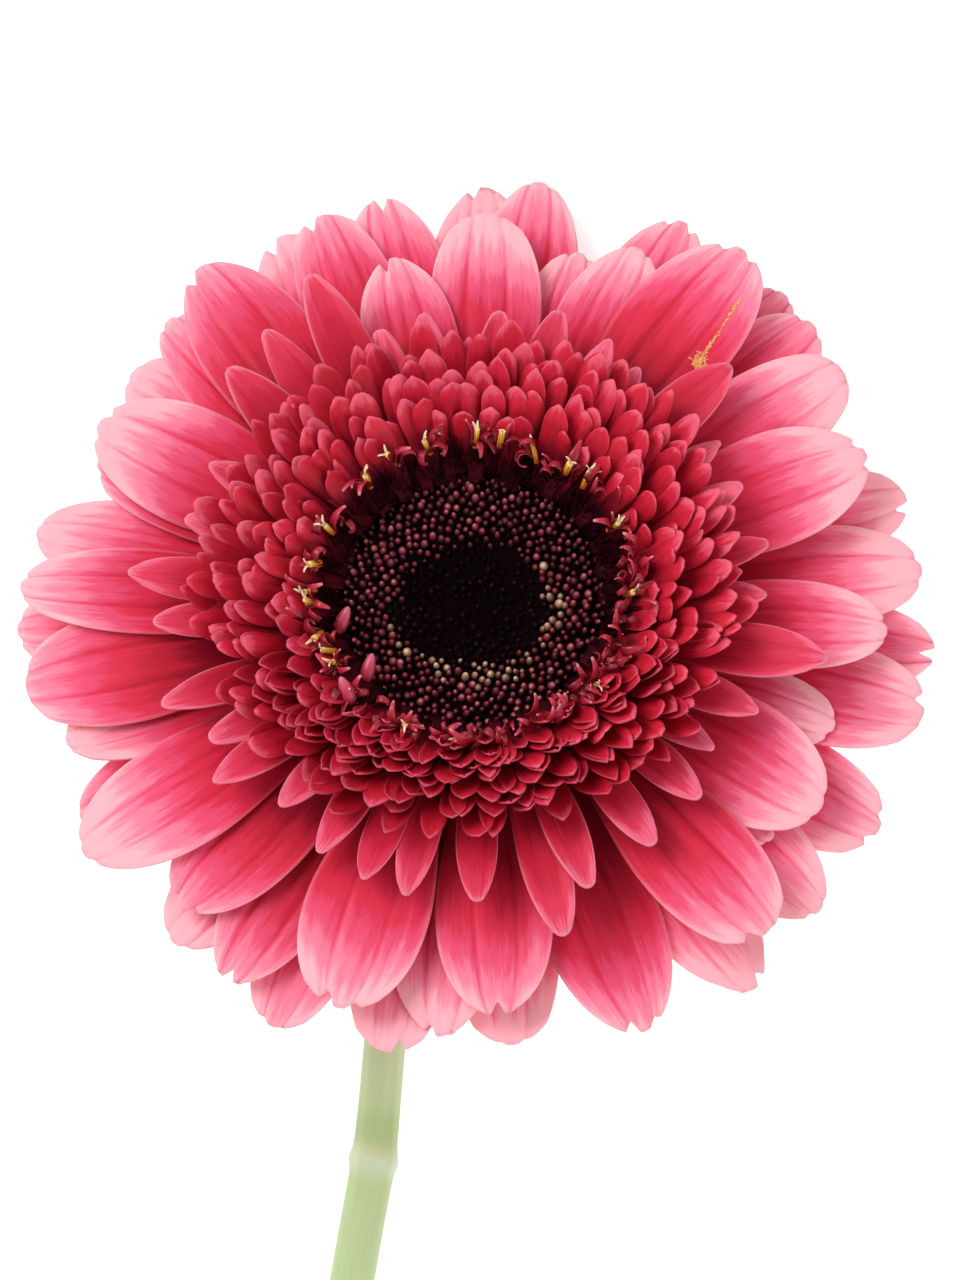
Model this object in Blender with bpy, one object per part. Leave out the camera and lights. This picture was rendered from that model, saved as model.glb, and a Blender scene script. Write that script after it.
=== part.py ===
"""A cut gerbera lying on a flat surface, modelled piece by piece.

The flower head is built in its own frame: Z runs along the head's axis out of the eye, X to the
right and Y up when the face is looked at, azimuths clockwise from Y. The head is then leaned back
until its far petal tips meet the surface, and the bare stem curves from under it and lies down.
Heads of this kind are about 112 mm wide. All lengths are metres, and MM turns millimetres to metres.
"""

import math

import bmesh
import bpy
from mathutils import Matrix, Vector

MM = 0.001

# Pose of the head on the surface.
LEAN = math.radians(24.0)  # of the head's axis from the vertical
LEAN_SIDE = math.radians(5.0)  # of that lean towards -X

# Flower head, radius and height along the head's axis.
EYE_RADIUS = 15.4 * MM
EYE_HEIGHT = 8.6 * MM
EYE_HOLLOW = 8.2 * MM  # radius of the sunken dark centre
FRINGE_INNER, FRINGE_OUTER = 15.75 * MM, 16.7 * MM
ROOT_RADIUS = 17.05 * MM  # where every outer floret starts
RECEPTACLE_RADIUS = 17.8 * MM

# Ray florets lie in levels, each one clear of the next.
RAY_THICK = 0.42 * MM
RAY_FIRST = 0.60 * MM
LEVEL_AT_ROOT, LEVEL_AT_RIM = 0.78 * MM, 1.35 * MM
RIM_RADIUS = 57.0 * MM
CLAW_HALF_WIDTH = 1.9 * MM

# Each ray floret: azimuth in degrees, reach from the axis in mm, width in mm, layer from the back
# (0) to the front (2), and whether its tip is notched.
RAYS = (
    (1.5, 57.9, 12.5, 0, True), (2.3, 51.6, 13.0, 2, False), (7.9, 58.5, 12.0, 0, False),
    (15.2, 49.0, 10.0, 1, False), (22.3, 51.0, 11.0, 2, False), (26.5, 58.9, 12.0, 0, False),
    (34.5, 56.8, 14.5, 2, False), (41.5, 57.0, 11.5, 0, False), (47.9, 56.2, 12.0, 1, False),
    (55.9, 54.4, 13.0, 2, False), (68.0, 51.5, 14.0, 2, False), (72.3, 55.0, 12.0, 0, True),
    (82.4, 54.8, 13.0, 0, False), (93.5, 50.3, 11.0, 2, False), (94.2, 56.1, 11.0, 0, True),
    (103.7, 56.0, 13.0, 0, True), (109.3, 46.2, 9.5, 1, False), (120.0, 56.0, 13.0, 0, False),
    (121.1, 49.5, 14.5, 2, False), (128.3, 46.5, 9.0, 1, False), (131.3, 56.3, 12.0, 0, False),
    (140.9, 55.3, 13.5, 2, True), (144.8, 58.0, 12.0, 0, True), (158.4, 57.0, 14.0, 0, True),
    (174.8, 54.3, 13.0, 0, False), (175.6, 52.1, 13.5, 2, True), (183.3, 54.0, 13.5, 1, True),
    (191.2, 56.4, 12.0, 0, True), (197.7, 53.9, 14.5, 2, True), (206.0, 56.9, 12.0, 0, False),
    (212.3, 55.2, 12.0, 1, True), (220.7, 54.9, 12.0, 0, False), (222.2, 51.6, 13.0, 2, False),
    (235.0, 56.5, 13.5, 2, False), (241.5, 53.7, 11.0, 0, False), (251.0, 51.8, 10.0, 1, False),
    (261.0, 55.0, 14.0, 1, False), (269.6, 55.7, 12.0, 0, False), (273.4, 55.1, 10.5, 2, False),
    (282.0, 54.6, 11.5, 1, False), (292.4, 50.0, 9.0, 1, False), (298.8, 51.9, 14.5, 2, False),
    (309.0, 53.8, 12.0, 0, False), (316.3, 54.9, 11.0, 0, False), (321.9, 56.2, 14.0, 2, True),
    (333.7, 56.9, 12.5, 0, True), (339.5, 56.2, 12.0, 1, True), (347.0, 57.1, 12.5, 0, True),
    (347.8, 46.5, 11.0, 2, True),
)

# Whorls above the rays: name, number of florets, base height, tip radius, tip height, how far down
# between two florets the ring is cut, all heights and radii in mm.
WHORLS = (
    ("florets_inner_ray", 26, 6.6, 42.0, 12.0, 0.60),
    ("florets_crest_1", 42, 7.6, 34.0, 13.8, 0.50),
    ("florets_crest_2", 42, 8.5, 31.9, 14.9, 0.50),
    ("florets_crest_3", 40, 9.4, 29.7, 15.7, 0.50),
    ("florets_crest_4", 40, 10.3, 27.4, 16.1, 0.50),
    ("florets_crest_5", 38, 11.2, 25.1, 15.9, 0.50),
)
WHORL_THICK = 0.5 * MM

# Involucre: two rings of green bracts under the head, as radius and height in mm from root to tip.
BRACTS = (
    ("bracts_inner", 20, ((14.9, -6.2), (17.8, -3.6), (19.3, -1.6), (20.4, -0.5))),
    ("bracts_outer", 18, ((9.2, -10.6), (13.4, -8.5), (16.7, -6.1), (19.0, -4.2))),
)
BRACT_THICK = 0.5 * MM

# Receptacle at the top of the stem: radius and height in mm, narrowing to the stem.
RECEPTACLE = (
    (17.8, 0.0), (17.6, -1.0), (16.4, -3.0), (13.9, -5.5), (10.7, -8.0), (7.5, -10.0),
    (4.9, -11.7), (3.4, -13.2), (2.75, -15.0),
)

# Bare stem on the surface, from the neck to the cut end: x and y in mm from under the head's
# middle, and the stem's radius there.
STEM = (
    (-5.6, -26.0, 2.55), (-8.9, -38.0, 2.55), (-10.9, -51.0, 2.6), (-11.9, -63.8, 2.65),
    (-12.3, -66.4, 3.15), (-12.6, -68.4, 3.15), (-13.2, -71.2, 2.75), (-15.5, -84.0, 2.8),
    (-18.8, -105.0, 2.85), (-22.0, -135.0, 2.95), (-23.6, -170.0, 3.05), (-22.9, -205.0, 3.2),
    (-20.2, -240.0, 3.3), (-15.4, -275.0, 3.45), (-8.6, -310.0, 3.55), (-1.6, -338.0, 3.65),
)
STEM_SIDES = 10


def clear_scene():
    """Removes whatever the new file starts with."""
    for obj in list(bpy.data.objects):
        bpy.data.objects.remove(obj, do_unlink=True)


def material(name, colour, roughness):
    """Returns a plain Principled material."""
    made = bpy.data.materials.new(name)
    made.use_nodes = True
    shader = made.node_tree.nodes["Principled BSDF"]
    shader.inputs["Base Color"].default_value = (*colour, 1.0)
    shader.inputs["Roughness"].default_value = roughness
    shader.inputs["Metallic"].default_value = 0.0
    made.diffuse_color = (*colour, 1.0)
    return made


def solid(name, points, faces, slot, parent):
    """Makes one named, smooth-shaded closed body from points and faces and hangs it on parent."""
    mesh = bpy.data.meshes.new(name)
    mesh.from_pydata([tuple(p) for p in points], [], faces)
    shaped = bmesh.new()
    shaped.from_mesh(mesh)
    bmesh.ops.recalc_face_normals(shaped, faces=shaped.faces)
    shaped.to_mesh(mesh)
    shaped.free()
    mesh.shade_smooth()
    mesh.set_sharp_from_angle(angle=math.radians(50.0))
    mesh.materials.append(slot)
    obj = bpy.data.objects.new(name, mesh)
    bpy.context.scene.collection.objects.link(obj)
    obj.parent = parent
    return obj


def blend(edge0, edge1, value):
    """Smooth step from 0 at edge0 to 1 at edge1."""
    share = min(1.0, max(0.0, (value - edge0) / (edge1 - edge0)))
    return share * share * (3.0 - 2.0 * share)


def ray_levels():
    """Gives each ray floret a level in which it meets no other floret in plan.

    The back layer fills the lowest levels, and the layers in front start above it.
    """
    levels = {}
    for index in sorted(range(len(RAYS)), key=lambda i: (RAYS[i][3], RAYS[i][0])):
        azimuth, _, width, layer, _ = RAYS[index]
        taken = set()
        for other, level in levels.items():
            apart = abs((azimuth - RAYS[other][0] + 180.0) % 360.0 - 180.0)
            shared = math.degrees((width + RAYS[other][2]) * MM / 2 / (38.0 * MM)) + 1.2
            if apart < shared:
                taken.add(level)
        levels[index] = next(n for n in range(2 * layer, len(RAYS)) if n not in taken)
    return [levels[i] for i in range(len(RAYS))]


def ray_height(level, radius):
    """Height of a ray floret's middle surface above the receptacle at a radius."""
    out = (radius - ROOT_RADIUS) / (RIM_RADIUS - ROOT_RADIUS)
    pitch = LEVEL_AT_ROOT + (LEVEL_AT_RIM - LEVEL_AT_ROOT) * out
    return RAY_FIRST + pitch * level - 0.5 * MM * out * out


def ray_floret(index, level, slot, parent):
    """One strap-shaped ray floret: a narrow claw, a broad blade and a rounded or notched tip."""
    azimuth, reach, width, _, notched = RAYS[index]
    reach, half = reach * MM, width * MM / 2
    across = (-1.0, -0.5, 0.0, 0.5, 1.0) if notched else (-1.0, -0.36, 0.36, 1.0)
    along = (0.0, 0.24, 0.48, 0.70, 0.89, 1.0)
    turn = math.radians(azimuth)
    outward = Vector((math.sin(turn), math.cos(turn), 0.0))
    side = Vector((math.cos(turn), -math.sin(turn), 0.0))
    top, bottom = [], []
    for t in along:
        wide = CLAW_HALF_WIDTH + (half - CLAW_HALF_WIDTH) * blend(-0.15, 0.62, t)
        if t > 0.70:
            wide *= math.sqrt(1.0 - 0.62 * ((t - 0.70) / 0.30) ** 2)
        for s in across:
            length = reach - ROOT_RADIUS
            back = 0.045 * s * s * blend(0.6, 1.0, t)
            if notched:
                back += 0.04 * (1.0 - min(1.0, abs(s) * 2.0)) * blend(0.9, 1.0, t)
            radius = ROOT_RADIUS + length * (t - back)
            flat = outward * radius + side * (s * wide)
            height = ray_height(level, flat.length) + 0.12 * MM * (1.0 - s * s) * blend(0.0, 0.5, t)
            top.append(flat + Vector((0.0, 0.0, height + RAY_THICK / 2)))
            bottom.append(flat + Vector((0.0, 0.0, height - RAY_THICK / 2)))
    return solid(
        f"ray_floret_{index + 1:02d}", top + bottom, slab_faces(len(along), len(across)), slot, parent
    )


def slab_faces(rows, columns):
    """Faces of a thin slab whose top grid of points is followed by its bottom grid."""
    below = rows * columns
    faces = []
    for r in range(rows - 1):
        for c in range(columns - 1):
            a, b = r * columns + c, r * columns + c + 1
            d, e = a + columns, b + columns
            faces += [(a, b, e, d), (below + a, below + d, below + e, below + b)]
    edge = [c for c in range(columns)]
    edge += [r * columns + columns - 1 for r in range(1, rows)]
    edge += [(rows - 1) * columns + c for c in range(columns - 2, -1, -1)]
    edge += [r * columns for r in range(rows - 2, 0, -1)]
    for a, b in zip(edge, edge[1:] + edge[:1]):
        faces.append((a, below + a, below + b, b))
    return faces


def along_profile(profile, share):
    """Point and normal of an outline of (radius, height) at a share of its length."""
    lengths = [(b - a).length for a, b in zip(profile, profile[1:])]
    left = share * sum(lengths)
    for (a, b), length in zip(zip(profile, profile[1:]), lengths):
        if left <= length + 1e-9:
            break
        left -= length
    way = (b - a).normalized()
    return a + way * min(left, length), Vector((-way.y, way.x))


def whorl(name, count, profile, thick, cut, rows, first, slot, parent):
    """A ring of florets or bracts grown together at their base, as one closed body.

    The florets stand on the outline from root to tip, and between two of them the ring ends at
    1 - cut of that length.
    """
    outline = [Vector(p) * MM for p in profile]
    columns = []
    for index in range(count * 2):
        turn = math.tau * (index + first) / (count * 2)
        end = 1.0 if index % 2 == 0 else 1.0 - cut
        inner, outer = [], []
        for row in range(rows):
            point, normal = along_profile(outline, end * row / (rows - 1))
            for line, way in ((inner, 1), (outer, -1)):
                at = point + normal * (way * thick / 2)
                line.append(Vector((at.x * math.sin(turn), at.x * math.cos(turn), at.y)))
        columns.append(inner + outer[::-1])
    size = rows * 2
    points = [p for column in columns for p in column]
    faces = []
    for index in range(len(columns)):
        here, there = index * size, (index + 1) % len(columns) * size
        for k in range(size):
            n = (k + 1) % size
            faces.append((here + k, there + k, there + n, here + n))
    return solid(name, points, faces, slot, parent)


def lathe(name, outline, sides, slot, parent):
    """A closed body turned about the head's axis from an outline that starts and ends on it."""
    points, rings = [], []
    for radius, height in outline:
        if radius == 0.0:
            rings.append([len(points)])
            points.append(Vector((0.0, 0.0, height)))
            continue
        rings.append(list(range(len(points), len(points) + sides)))
        for k in range(sides):
            turn = math.tau * k / sides
            points.append(Vector((radius * math.sin(turn), radius * math.cos(turn), height)))
    faces = []
    for low, high in zip(rings, rings[1:]):
        for k in range(sides):
            n = (k + 1) % sides
            if len(low) == 1:
                faces.append((low[0], high[k], high[n]))
            elif len(high) == 1:
                faces.append((low[k], high[0], low[n]))
            else:
                faces.append((low[k], high[k], high[n], low[n]))
    return solid(name, points, faces, slot, parent)


def eye(slot, parent):
    """The cushion of closed disc florets, with its sunken centre."""
    low = 0.35 * MM
    outline = (
        (0.0, low), (EYE_RADIUS - 0.6 * MM, low), (EYE_RADIUS, 2.0 * MM),
        (EYE_RADIUS, EYE_HEIGHT - 2.2 * MM), (EYE_RADIUS - 1.6 * MM, EYE_HEIGHT - 0.5 * MM),
        (EYE_RADIUS - 4.0 * MM, EYE_HEIGHT), (EYE_HOLLOW + 0.8 * MM, EYE_HEIGHT - 0.5 * MM),
        (EYE_HOLLOW - 1.2 * MM, EYE_HEIGHT - 1.9 * MM), (0.0, EYE_HEIGHT - 2.6 * MM),
    )
    return lathe("disc_florets", outline, 22, slot, parent)


def fringe(slot, parent):
    """The ring of dark hairs that stands round the eye."""
    profile = ((FRINGE_INNER / MM + 0.45, 0.4), (FRINGE_INNER / MM + 0.45, 10.2))
    return whorl("pappus_fringe", 30, profile, 0.9 * MM, 0.12, 2, 0, slot, parent)


def tube(name, centres, radii, sides, slot, parent):
    """A closed round body swept through centres with a radius at each."""
    tangents = []
    for k in range(len(centres)):
        a, b = centres[max(0, k - 1)], centres[min(len(centres) - 1, k + 1)]
        tangents.append((b - a).normalized())
    across = tangents[0].cross(Vector((0.0, 1.0, 0.0))).normalized()
    points, faces = [], []
    for k, (centre, radius) in enumerate(zip(centres, radii)):
        if k:
            across = tangents[k - 1].rotation_difference(tangents[k]) @ across
        up = tangents[k].cross(across).normalized()
        for j in range(sides):
            turn = math.tau * j / sides
            points.append(centre + (across * math.cos(turn) + up * math.sin(turn)) * radius)
    for k in range(len(centres) - 1):
        for j in range(sides):
            n = (j + 1) % sides
            a, b = k * sides, (k + 1) * sides
            faces.append((a + j, b + j, b + n, a + n))
    last = (len(centres) - 1) * sides
    faces.append(tuple(range(sides)))
    faces.append(tuple(last + j for j in range(sides - 1, -1, -1)))
    return solid(name, points, faces, slot, parent)


def scape(head, axis, slot, parent):
    """The leafless stem with the receptacle it ends in, one piece from the eye to the cut."""
    centres, radii = [], []
    for radius, height in RECEPTACLE:
        centres.append(head + axis * height * MM)
        radii.append(radius * MM)
    neck, first = centres[-1], STEM[0]
    down = Vector((first[0] * MM, first[1] * MM, first[2] * MM))
    ahead = Vector((STEM[1][0] - first[0], STEM[1][1] - first[1], 0.0)).normalized()
    pull = (down - neck).length * 0.42
    bend = (neck, neck - axis * pull, down - ahead * pull, down)
    for k in range(1, 6):
        t = k / 6
        u = 1.0 - t
        weights = (u**3, 3 * u * u * t, 3 * u * t * t, t**3)
        at = sum((point * weight for point, weight in zip(bend, weights)), Vector())
        radius = (RECEPTACLE[-1][0] * u + first[2] * t) * MM
        at.z = max(at.z, radius + 0.05 * MM)
        centres.append(at)
        radii.append(radius)
    for x, y, radius in STEM:
        centres.append(Vector((x * MM, y * MM, radius * MM)))
        radii.append(radius * MM)
    return tube("scape", centres, radii, STEM_SIDES, slot, parent)


def world_points(objects):
    """Every point of the objects, placed in the world."""
    bpy.context.view_layer.update()
    return [obj.matrix_world @ v.co for obj in objects for v in obj.data.vertices]


def main():
    """Builds the flower and sets it down with its origin under the middle of its box."""
    clear_scene()
    petal = material("petal_pink", (0.93, 0.17, 0.28), 0.55)
    crimson = material("petal_crimson", (0.42, 0.02, 0.04), 0.6)
    bud = material("disc_buds", (0.16, 0.07, 0.06), 0.8)
    hair = material("pappus_dark", (0.06, 0.01, 0.02), 0.9)
    green = material("stem_green", (0.42, 0.52, 0.25), 0.6)
    leaf = material("bract_green", (0.22, 0.33, 0.11), 0.65)

    plant = bpy.data.objects.new("gerbera", None)
    bpy.context.scene.collection.objects.link(plant)
    head = bpy.data.objects.new("flower_head", None)
    bpy.context.scene.collection.objects.link(head)
    head.parent = plant
    lean = Matrix.Rotation(LEAN_SIDE, 4, "Z") @ Matrix.Rotation(-LEAN, 4, "X")
    lean = lean @ Matrix.Rotation(-LEAN_SIDE, 4, "Z")
    head.matrix_local = lean
    axis = lean.to_3x3() @ Vector((0.0, 0.0, 1.0))

    florets = [
        ray_floret(index, level, petal, head) for index, level in enumerate(ray_levels())
    ]
    for number, (name, count, base, radius, height, cut) in enumerate(WHORLS):
        profile = ((ROOT_RADIUS / MM, base), (radius, height))
        slot = petal if number == 0 else crimson
        florets.append(
            whorl(name, count, profile, WHORL_THICK, cut, 2, number * 0.5, slot, head)
        )
    for name, count, profile in BRACTS:
        florets.append(whorl(name, count, profile, BRACT_THICK, 0.45, 3, 0, leaf, head))
    florets += [eye(bud, head), fringe(hair, head)]

    lowest = min(p.z for p in world_points(florets))
    head.matrix_local = Matrix.Translation((0.0, 0.0, -lowest)) @ lean
    florets.append(scape(Vector((0.0, 0.0, -lowest)), axis, green, plant))

    points = world_points(florets)
    middle = [(min(p[k] for p in points) + max(p[k] for p in points)) / 2 for k in range(2)]
    plant.location = (-middle[0], -middle[1], -min(p.z for p in points))


main()
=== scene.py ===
"""A cut gerbera lying on a pale table: pink ray florets, a crimson ruff, a dark eye and a bare stem.

The head is modelled in its own frame, in millimetres: Z along the head's axis out of the eye, Y
towards the top of the face, azimuths clockwise from Y. One matrix then sets it where the solid
model has it. Lengths on the stem and the stage are metres.
"""

import logging
import math
import random
from collections.abc import Callable, Iterable, Sequence
from dataclasses import dataclass, field
from enum import Enum

import bpy
import numpy as np
from mathutils import Matrix, Vector


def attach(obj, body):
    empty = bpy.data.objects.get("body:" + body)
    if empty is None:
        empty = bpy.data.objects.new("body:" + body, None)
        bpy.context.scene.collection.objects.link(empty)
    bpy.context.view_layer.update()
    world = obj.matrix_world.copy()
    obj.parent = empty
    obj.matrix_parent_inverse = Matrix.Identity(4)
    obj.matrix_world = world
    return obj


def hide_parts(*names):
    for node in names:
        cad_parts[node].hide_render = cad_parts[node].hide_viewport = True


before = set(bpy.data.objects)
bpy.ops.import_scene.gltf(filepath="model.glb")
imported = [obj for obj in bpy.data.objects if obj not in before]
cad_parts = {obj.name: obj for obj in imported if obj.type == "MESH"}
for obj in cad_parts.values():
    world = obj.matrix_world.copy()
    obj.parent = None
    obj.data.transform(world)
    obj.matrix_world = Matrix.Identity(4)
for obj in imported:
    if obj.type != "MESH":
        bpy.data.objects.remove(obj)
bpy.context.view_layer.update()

LOG = logging.getLogger("gerbera")
MM = 0.001
WHITE = (1.0, 1.0, 1.0, 1.0)
GOLDEN_ANGLE = 137.508  # degrees from one bud to the next
FOLD = 0.36  # where across a floret its two folds run, as a share of half its width
Array = np.ndarray
Socket = bpy.types.NodeSocket


# ---------------------------------------------------------------- small tools


def linear(code: str) -> tuple[float, float, float, float]:
    """Turns an sRGB hex colour into a linear one with full alpha.

    Args:
        code: six hex digits after a hash.

    Returns:
        Red, green, blue and alpha from 0 to 1.
    """
    parts = [int(code[i : i + 2], 16) / 255.0 for i in (1, 3, 5)]
    shades = [p / 12.92 if p <= 0.04045 else ((p + 0.055) / 1.055) ** 2.4 for p in parts]
    return (shades[0], shades[1], shades[2], 1.0)


def smooth(low: float, high: float, value: Array) -> Array:
    """Smooth step of an array from 0 at low to 1 at high."""
    share = np.clip((value - low) / (high - low), 0.0, 1.0)
    return share * share * (3.0 - 2.0 * share)


def feed(node: bpy.types.Node, feeds: dict) -> None:
    """Links a socket to each named input of a node, or sets its value."""
    for name, value in feeds.items():
        if isinstance(value, Socket):
            node.id_data.links.new(value, node.inputs[name])
        else:
            node.inputs[name].default_value = value


def add_node(
    material: bpy.types.Material,
    kind: str,
    feeds: dict | None = None,
    **settings: object,
) -> bpy.types.Node:
    """Adds one shader node with its settings and links.

    Args:
        material: the material that gets the node.
        kind: Blender's name of the node type.
        feeds: input name or number, and the socket or the value that goes in.
        **settings: attributes of the node itself.

    Returns:
        The new node.
    """
    node = material.node_tree.nodes.new(kind)
    for name, value in settings.items():
        setattr(node, name, value)
    feed(node, feeds or {})
    return node


def add_object(name: str, data: bpy.types.ID) -> bpy.types.Object:
    """Adds an object that shows some data to the scene."""
    made = bpy.data.objects.new(name, data)
    bpy.context.scene.collection.objects.link(made)
    return made


def deselect_all() -> None:
    """Leaves object mode with nothing selected."""
    if bpy.context.mode != "OBJECT":
        bpy.ops.object.mode_set(mode="OBJECT")
    bpy.ops.object.select_all(action="DESELECT")


def activate(piece: bpy.types.Object) -> None:
    """Selects one piece alone and makes it the active one."""
    deselect_all()
    piece.select_set(True)
    bpy.context.view_layer.objects.active = piece


def read(items: bpy.types.bpy_prop_collection, name: str, each: int = 1, kind: type = np.int32) -> Array:
    """Reads one property of a mesh's parts.

    Args:
        items: the mesh's points, corners, faces or UVs.
        name: the property's name.
        each: how many values one part has.
        kind: the values' type.

    Returns:
        The values, in a row for each part where it has several.
    """
    values = np.zeros(len(items) * each, kind)
    items.foreach_get(name, values)
    return values.reshape(-1, each) if each > 1 else values


def turned(degrees: float, axis: str) -> Matrix:
    """A turn about X, Y or Z."""
    return Matrix.Rotation(math.radians(degrees), 4, axis)


def at_azimuth(degrees: float) -> Matrix:
    """Turns a shape that points to Y to a clockwise azimuth."""
    return turned(-degrees, "Z")


def shaped_grid(
    name: str, across: int, along: int, place: Callable[[Array, Array], Array]
) -> bpy.types.Object:
    """Adds a flat grid with UVs and moves each of its points to a place on a surface.

    Args:
        name: the new object's name.
        across: faces along U.
        along: faces along V.
        place: gives an array of points from arrays of U and V, both 0 to 1.

    Returns:
        The shaped grid, smooth, at the origin.
    """
    deselect_all()
    bpy.ops.mesh.primitive_grid_add(x_subdivisions=across, y_subdivisions=along, size=2.0)
    sheet = bpy.context.object
    sheet.name = sheet.data.name = name
    flat = read(sheet.data.vertices, "co", 3, float)
    moved = place((flat[:, 0] + 1.0) / 2.0, (flat[:, 1] + 1.0) / 2.0)
    sheet.data.vertices.foreach_set("co", np.ascontiguousarray(moved, dtype=float).ravel())
    sheet.data.update()
    bpy.ops.object.shade_smooth()
    return sheet


def close_up(piece: bpy.types.Object, gap: float) -> None:
    """Merges the points that meet at a seam or pole, closes the open edge, turns faces outward."""
    activate(piece)
    bpy.ops.object.mode_set(mode="EDIT")
    bpy.ops.mesh.select_all(action="SELECT")
    bpy.ops.mesh.remove_doubles(threshold=gap)
    bpy.ops.mesh.normals_make_consistent(inside=False)
    bpy.ops.mesh.select_all(action="DESELECT")
    bpy.ops.mesh.select_non_manifold()
    bpy.ops.mesh.edge_face_add()
    bpy.ops.mesh.select_all(action="SELECT")
    bpy.ops.mesh.normals_make_consistent(inside=False)
    bpy.ops.object.mode_set(mode="OBJECT")


def spike(foot: float, tip: float) -> bpy.types.Object:
    """Adds a slender open cone, 1 mm high, that stands on the origin; foot and tip are radii."""
    deselect_all()
    bpy.ops.mesh.primitive_cone_add(
        vertices=3, radius1=foot, radius2=tip, depth=1.0, end_fill_type="NOTHING"
    )
    cone = bpy.context.object
    cone.data.transform(Matrix.Translation((0.0, 0.0, 0.5)))
    return cone


def run_up(mesh: bpy.types.Mesh, tall: float) -> None:
    """Runs V up a shape that stands on the origin, from 0 at its foot to 1 at its top."""
    layer = mesh.uv_layers.active or mesh.uv_layers.new(name="UVMap")
    for loop in mesh.loops:
        layer.uv[loop.index].vector = (0.5, mesh.vertices[loop.vertex_index].co.z / tall)


def thicken(piece: bpy.types.Object, thickness: float) -> None:
    """Gives a sheet a wall below it; its three finishes lie above, below and on the rim."""
    for _ in range(3):
        piece.data.materials.append(None)
    wall = piece.modifiers.new("tissue", "SOLIDIFY")
    wall.thickness = thickness
    wall.offset = -1.0
    wall.use_even_offset = False
    wall.material_offset = 1
    wall.material_offset_rim = 2
    bpy.context.view_layer.objects.active = piece
    bpy.ops.object.modifier_apply(modifier=wall.name)


def mark(mesh: bpy.types.Mesh, shade: float | Array) -> None:
    """Stores a value per point, which a finish reads to tell one floret from the next."""
    layer = mesh.attributes.get("shade") or mesh.attributes.new("shade", "FLOAT", "POINT")
    values = np.empty(len(mesh.vertices), np.float32)
    values[:] = shade
    layer.data.foreach_set("value", values)


@dataclass
class Master:
    """A small shape that is modelled once and then repeated."""

    points: Array
    corners: Array
    starts: Array
    uvs: Array
    slots: Array

    @classmethod
    def take(cls, piece: bpy.types.Object) -> "Master":
        """Reads an object's mesh and removes the object."""
        mesh = piece.data
        uvs = np.zeros((len(mesh.loops), 2), np.float32)
        if mesh.uv_layers:
            uvs = read(mesh.uv_layers.active.uv, "vector", 2, np.float32)
        made = cls(
            points=read(mesh.vertices, "co", 3, float),
            corners=read(mesh.loops, "vertex_index"),
            starts=read(mesh.polygons, "loop_start"),
            uvs=uvs,
            slots=read(mesh.polygons, "material_index"),
        )
        bpy.data.objects.remove(piece, do_unlink=True)
        return made


def repeat(
    name: str, copies: Sequence[tuple[Master, Matrix, float]], finishes: Iterable[bpy.types.Material]
) -> bpy.types.Object:
    """Sets out copies of small shapes as one piece.

    Args:
        name: the piece's name.
        copies: each copy's master, its place and its shade.
        finishes: the piece's materials, in the masters' order.

    Returns:
        The piece, at the origin.
    """
    points, corners, starts, uvs, slots, shades = [], [], [], [], [], []
    first_point = first_corner = 0
    for master, place, shade in copies:
        turn = np.array(place)
        points.append(master.points @ turn[:3, :3].T + turn[:3, 3])
        corners.append(master.corners + first_point)
        starts.append(master.starts + first_corner)
        uvs.append(master.uvs)
        slots.append(master.slots)
        shades.append(np.full(len(master.points), shade, np.float32))
        first_point += len(master.points)
        first_corner += len(master.corners)
    mesh = bpy.data.meshes.new(name)
    mesh.vertices.add(first_point)
    mesh.vertices.foreach_set("co", np.concatenate(points).ravel())
    mesh.loops.add(first_corner)
    mesh.loops.foreach_set("vertex_index", np.concatenate(corners))
    all_starts = np.concatenate(starts)
    mesh.polygons.add(len(all_starts))
    mesh.polygons.foreach_set("loop_start", all_starts)
    mesh.polygons.foreach_set("material_index", np.concatenate(slots))
    mesh.update(calc_edges=True)
    mesh.uv_layers.new(name="UVMap").uv.foreach_set("vector", np.concatenate(uvs).ravel())
    mark(mesh, np.concatenate(shades))
    mesh.validate()
    mesh.shade_smooth()
    for finish in finishes:
        mesh.materials.append(finish)
    return add_object(name, mesh)


def rest_on_table(mesh: bpy.types.Mesh, softness: float = 0.4 * MM) -> None:
    """Bends what would sink into the table up so that it lies on it.

    Args:
        mesh: the mesh, in metres on the table.
        softness: how far above the table the bend begins, about.
    """
    for point in mesh.vertices:
        if point.co.z < 5.0 * softness:
            point.co.z = 0.5 * (point.co.z + math.sqrt(point.co.z**2 + softness**2))


def hand_over(piece: bpy.types.Object, slot: str, *nodes: str) -> bpy.types.Object:
    """Rides a finished piece on the one body and hides the solids it stands for."""
    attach(piece, "root")
    if nodes:
        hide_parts(*nodes)
    LOG.info("%s: %d faces", piece.name, len(piece.data.polygons))
    return piece


# ---------------------------------------------------------------- finishes


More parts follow.
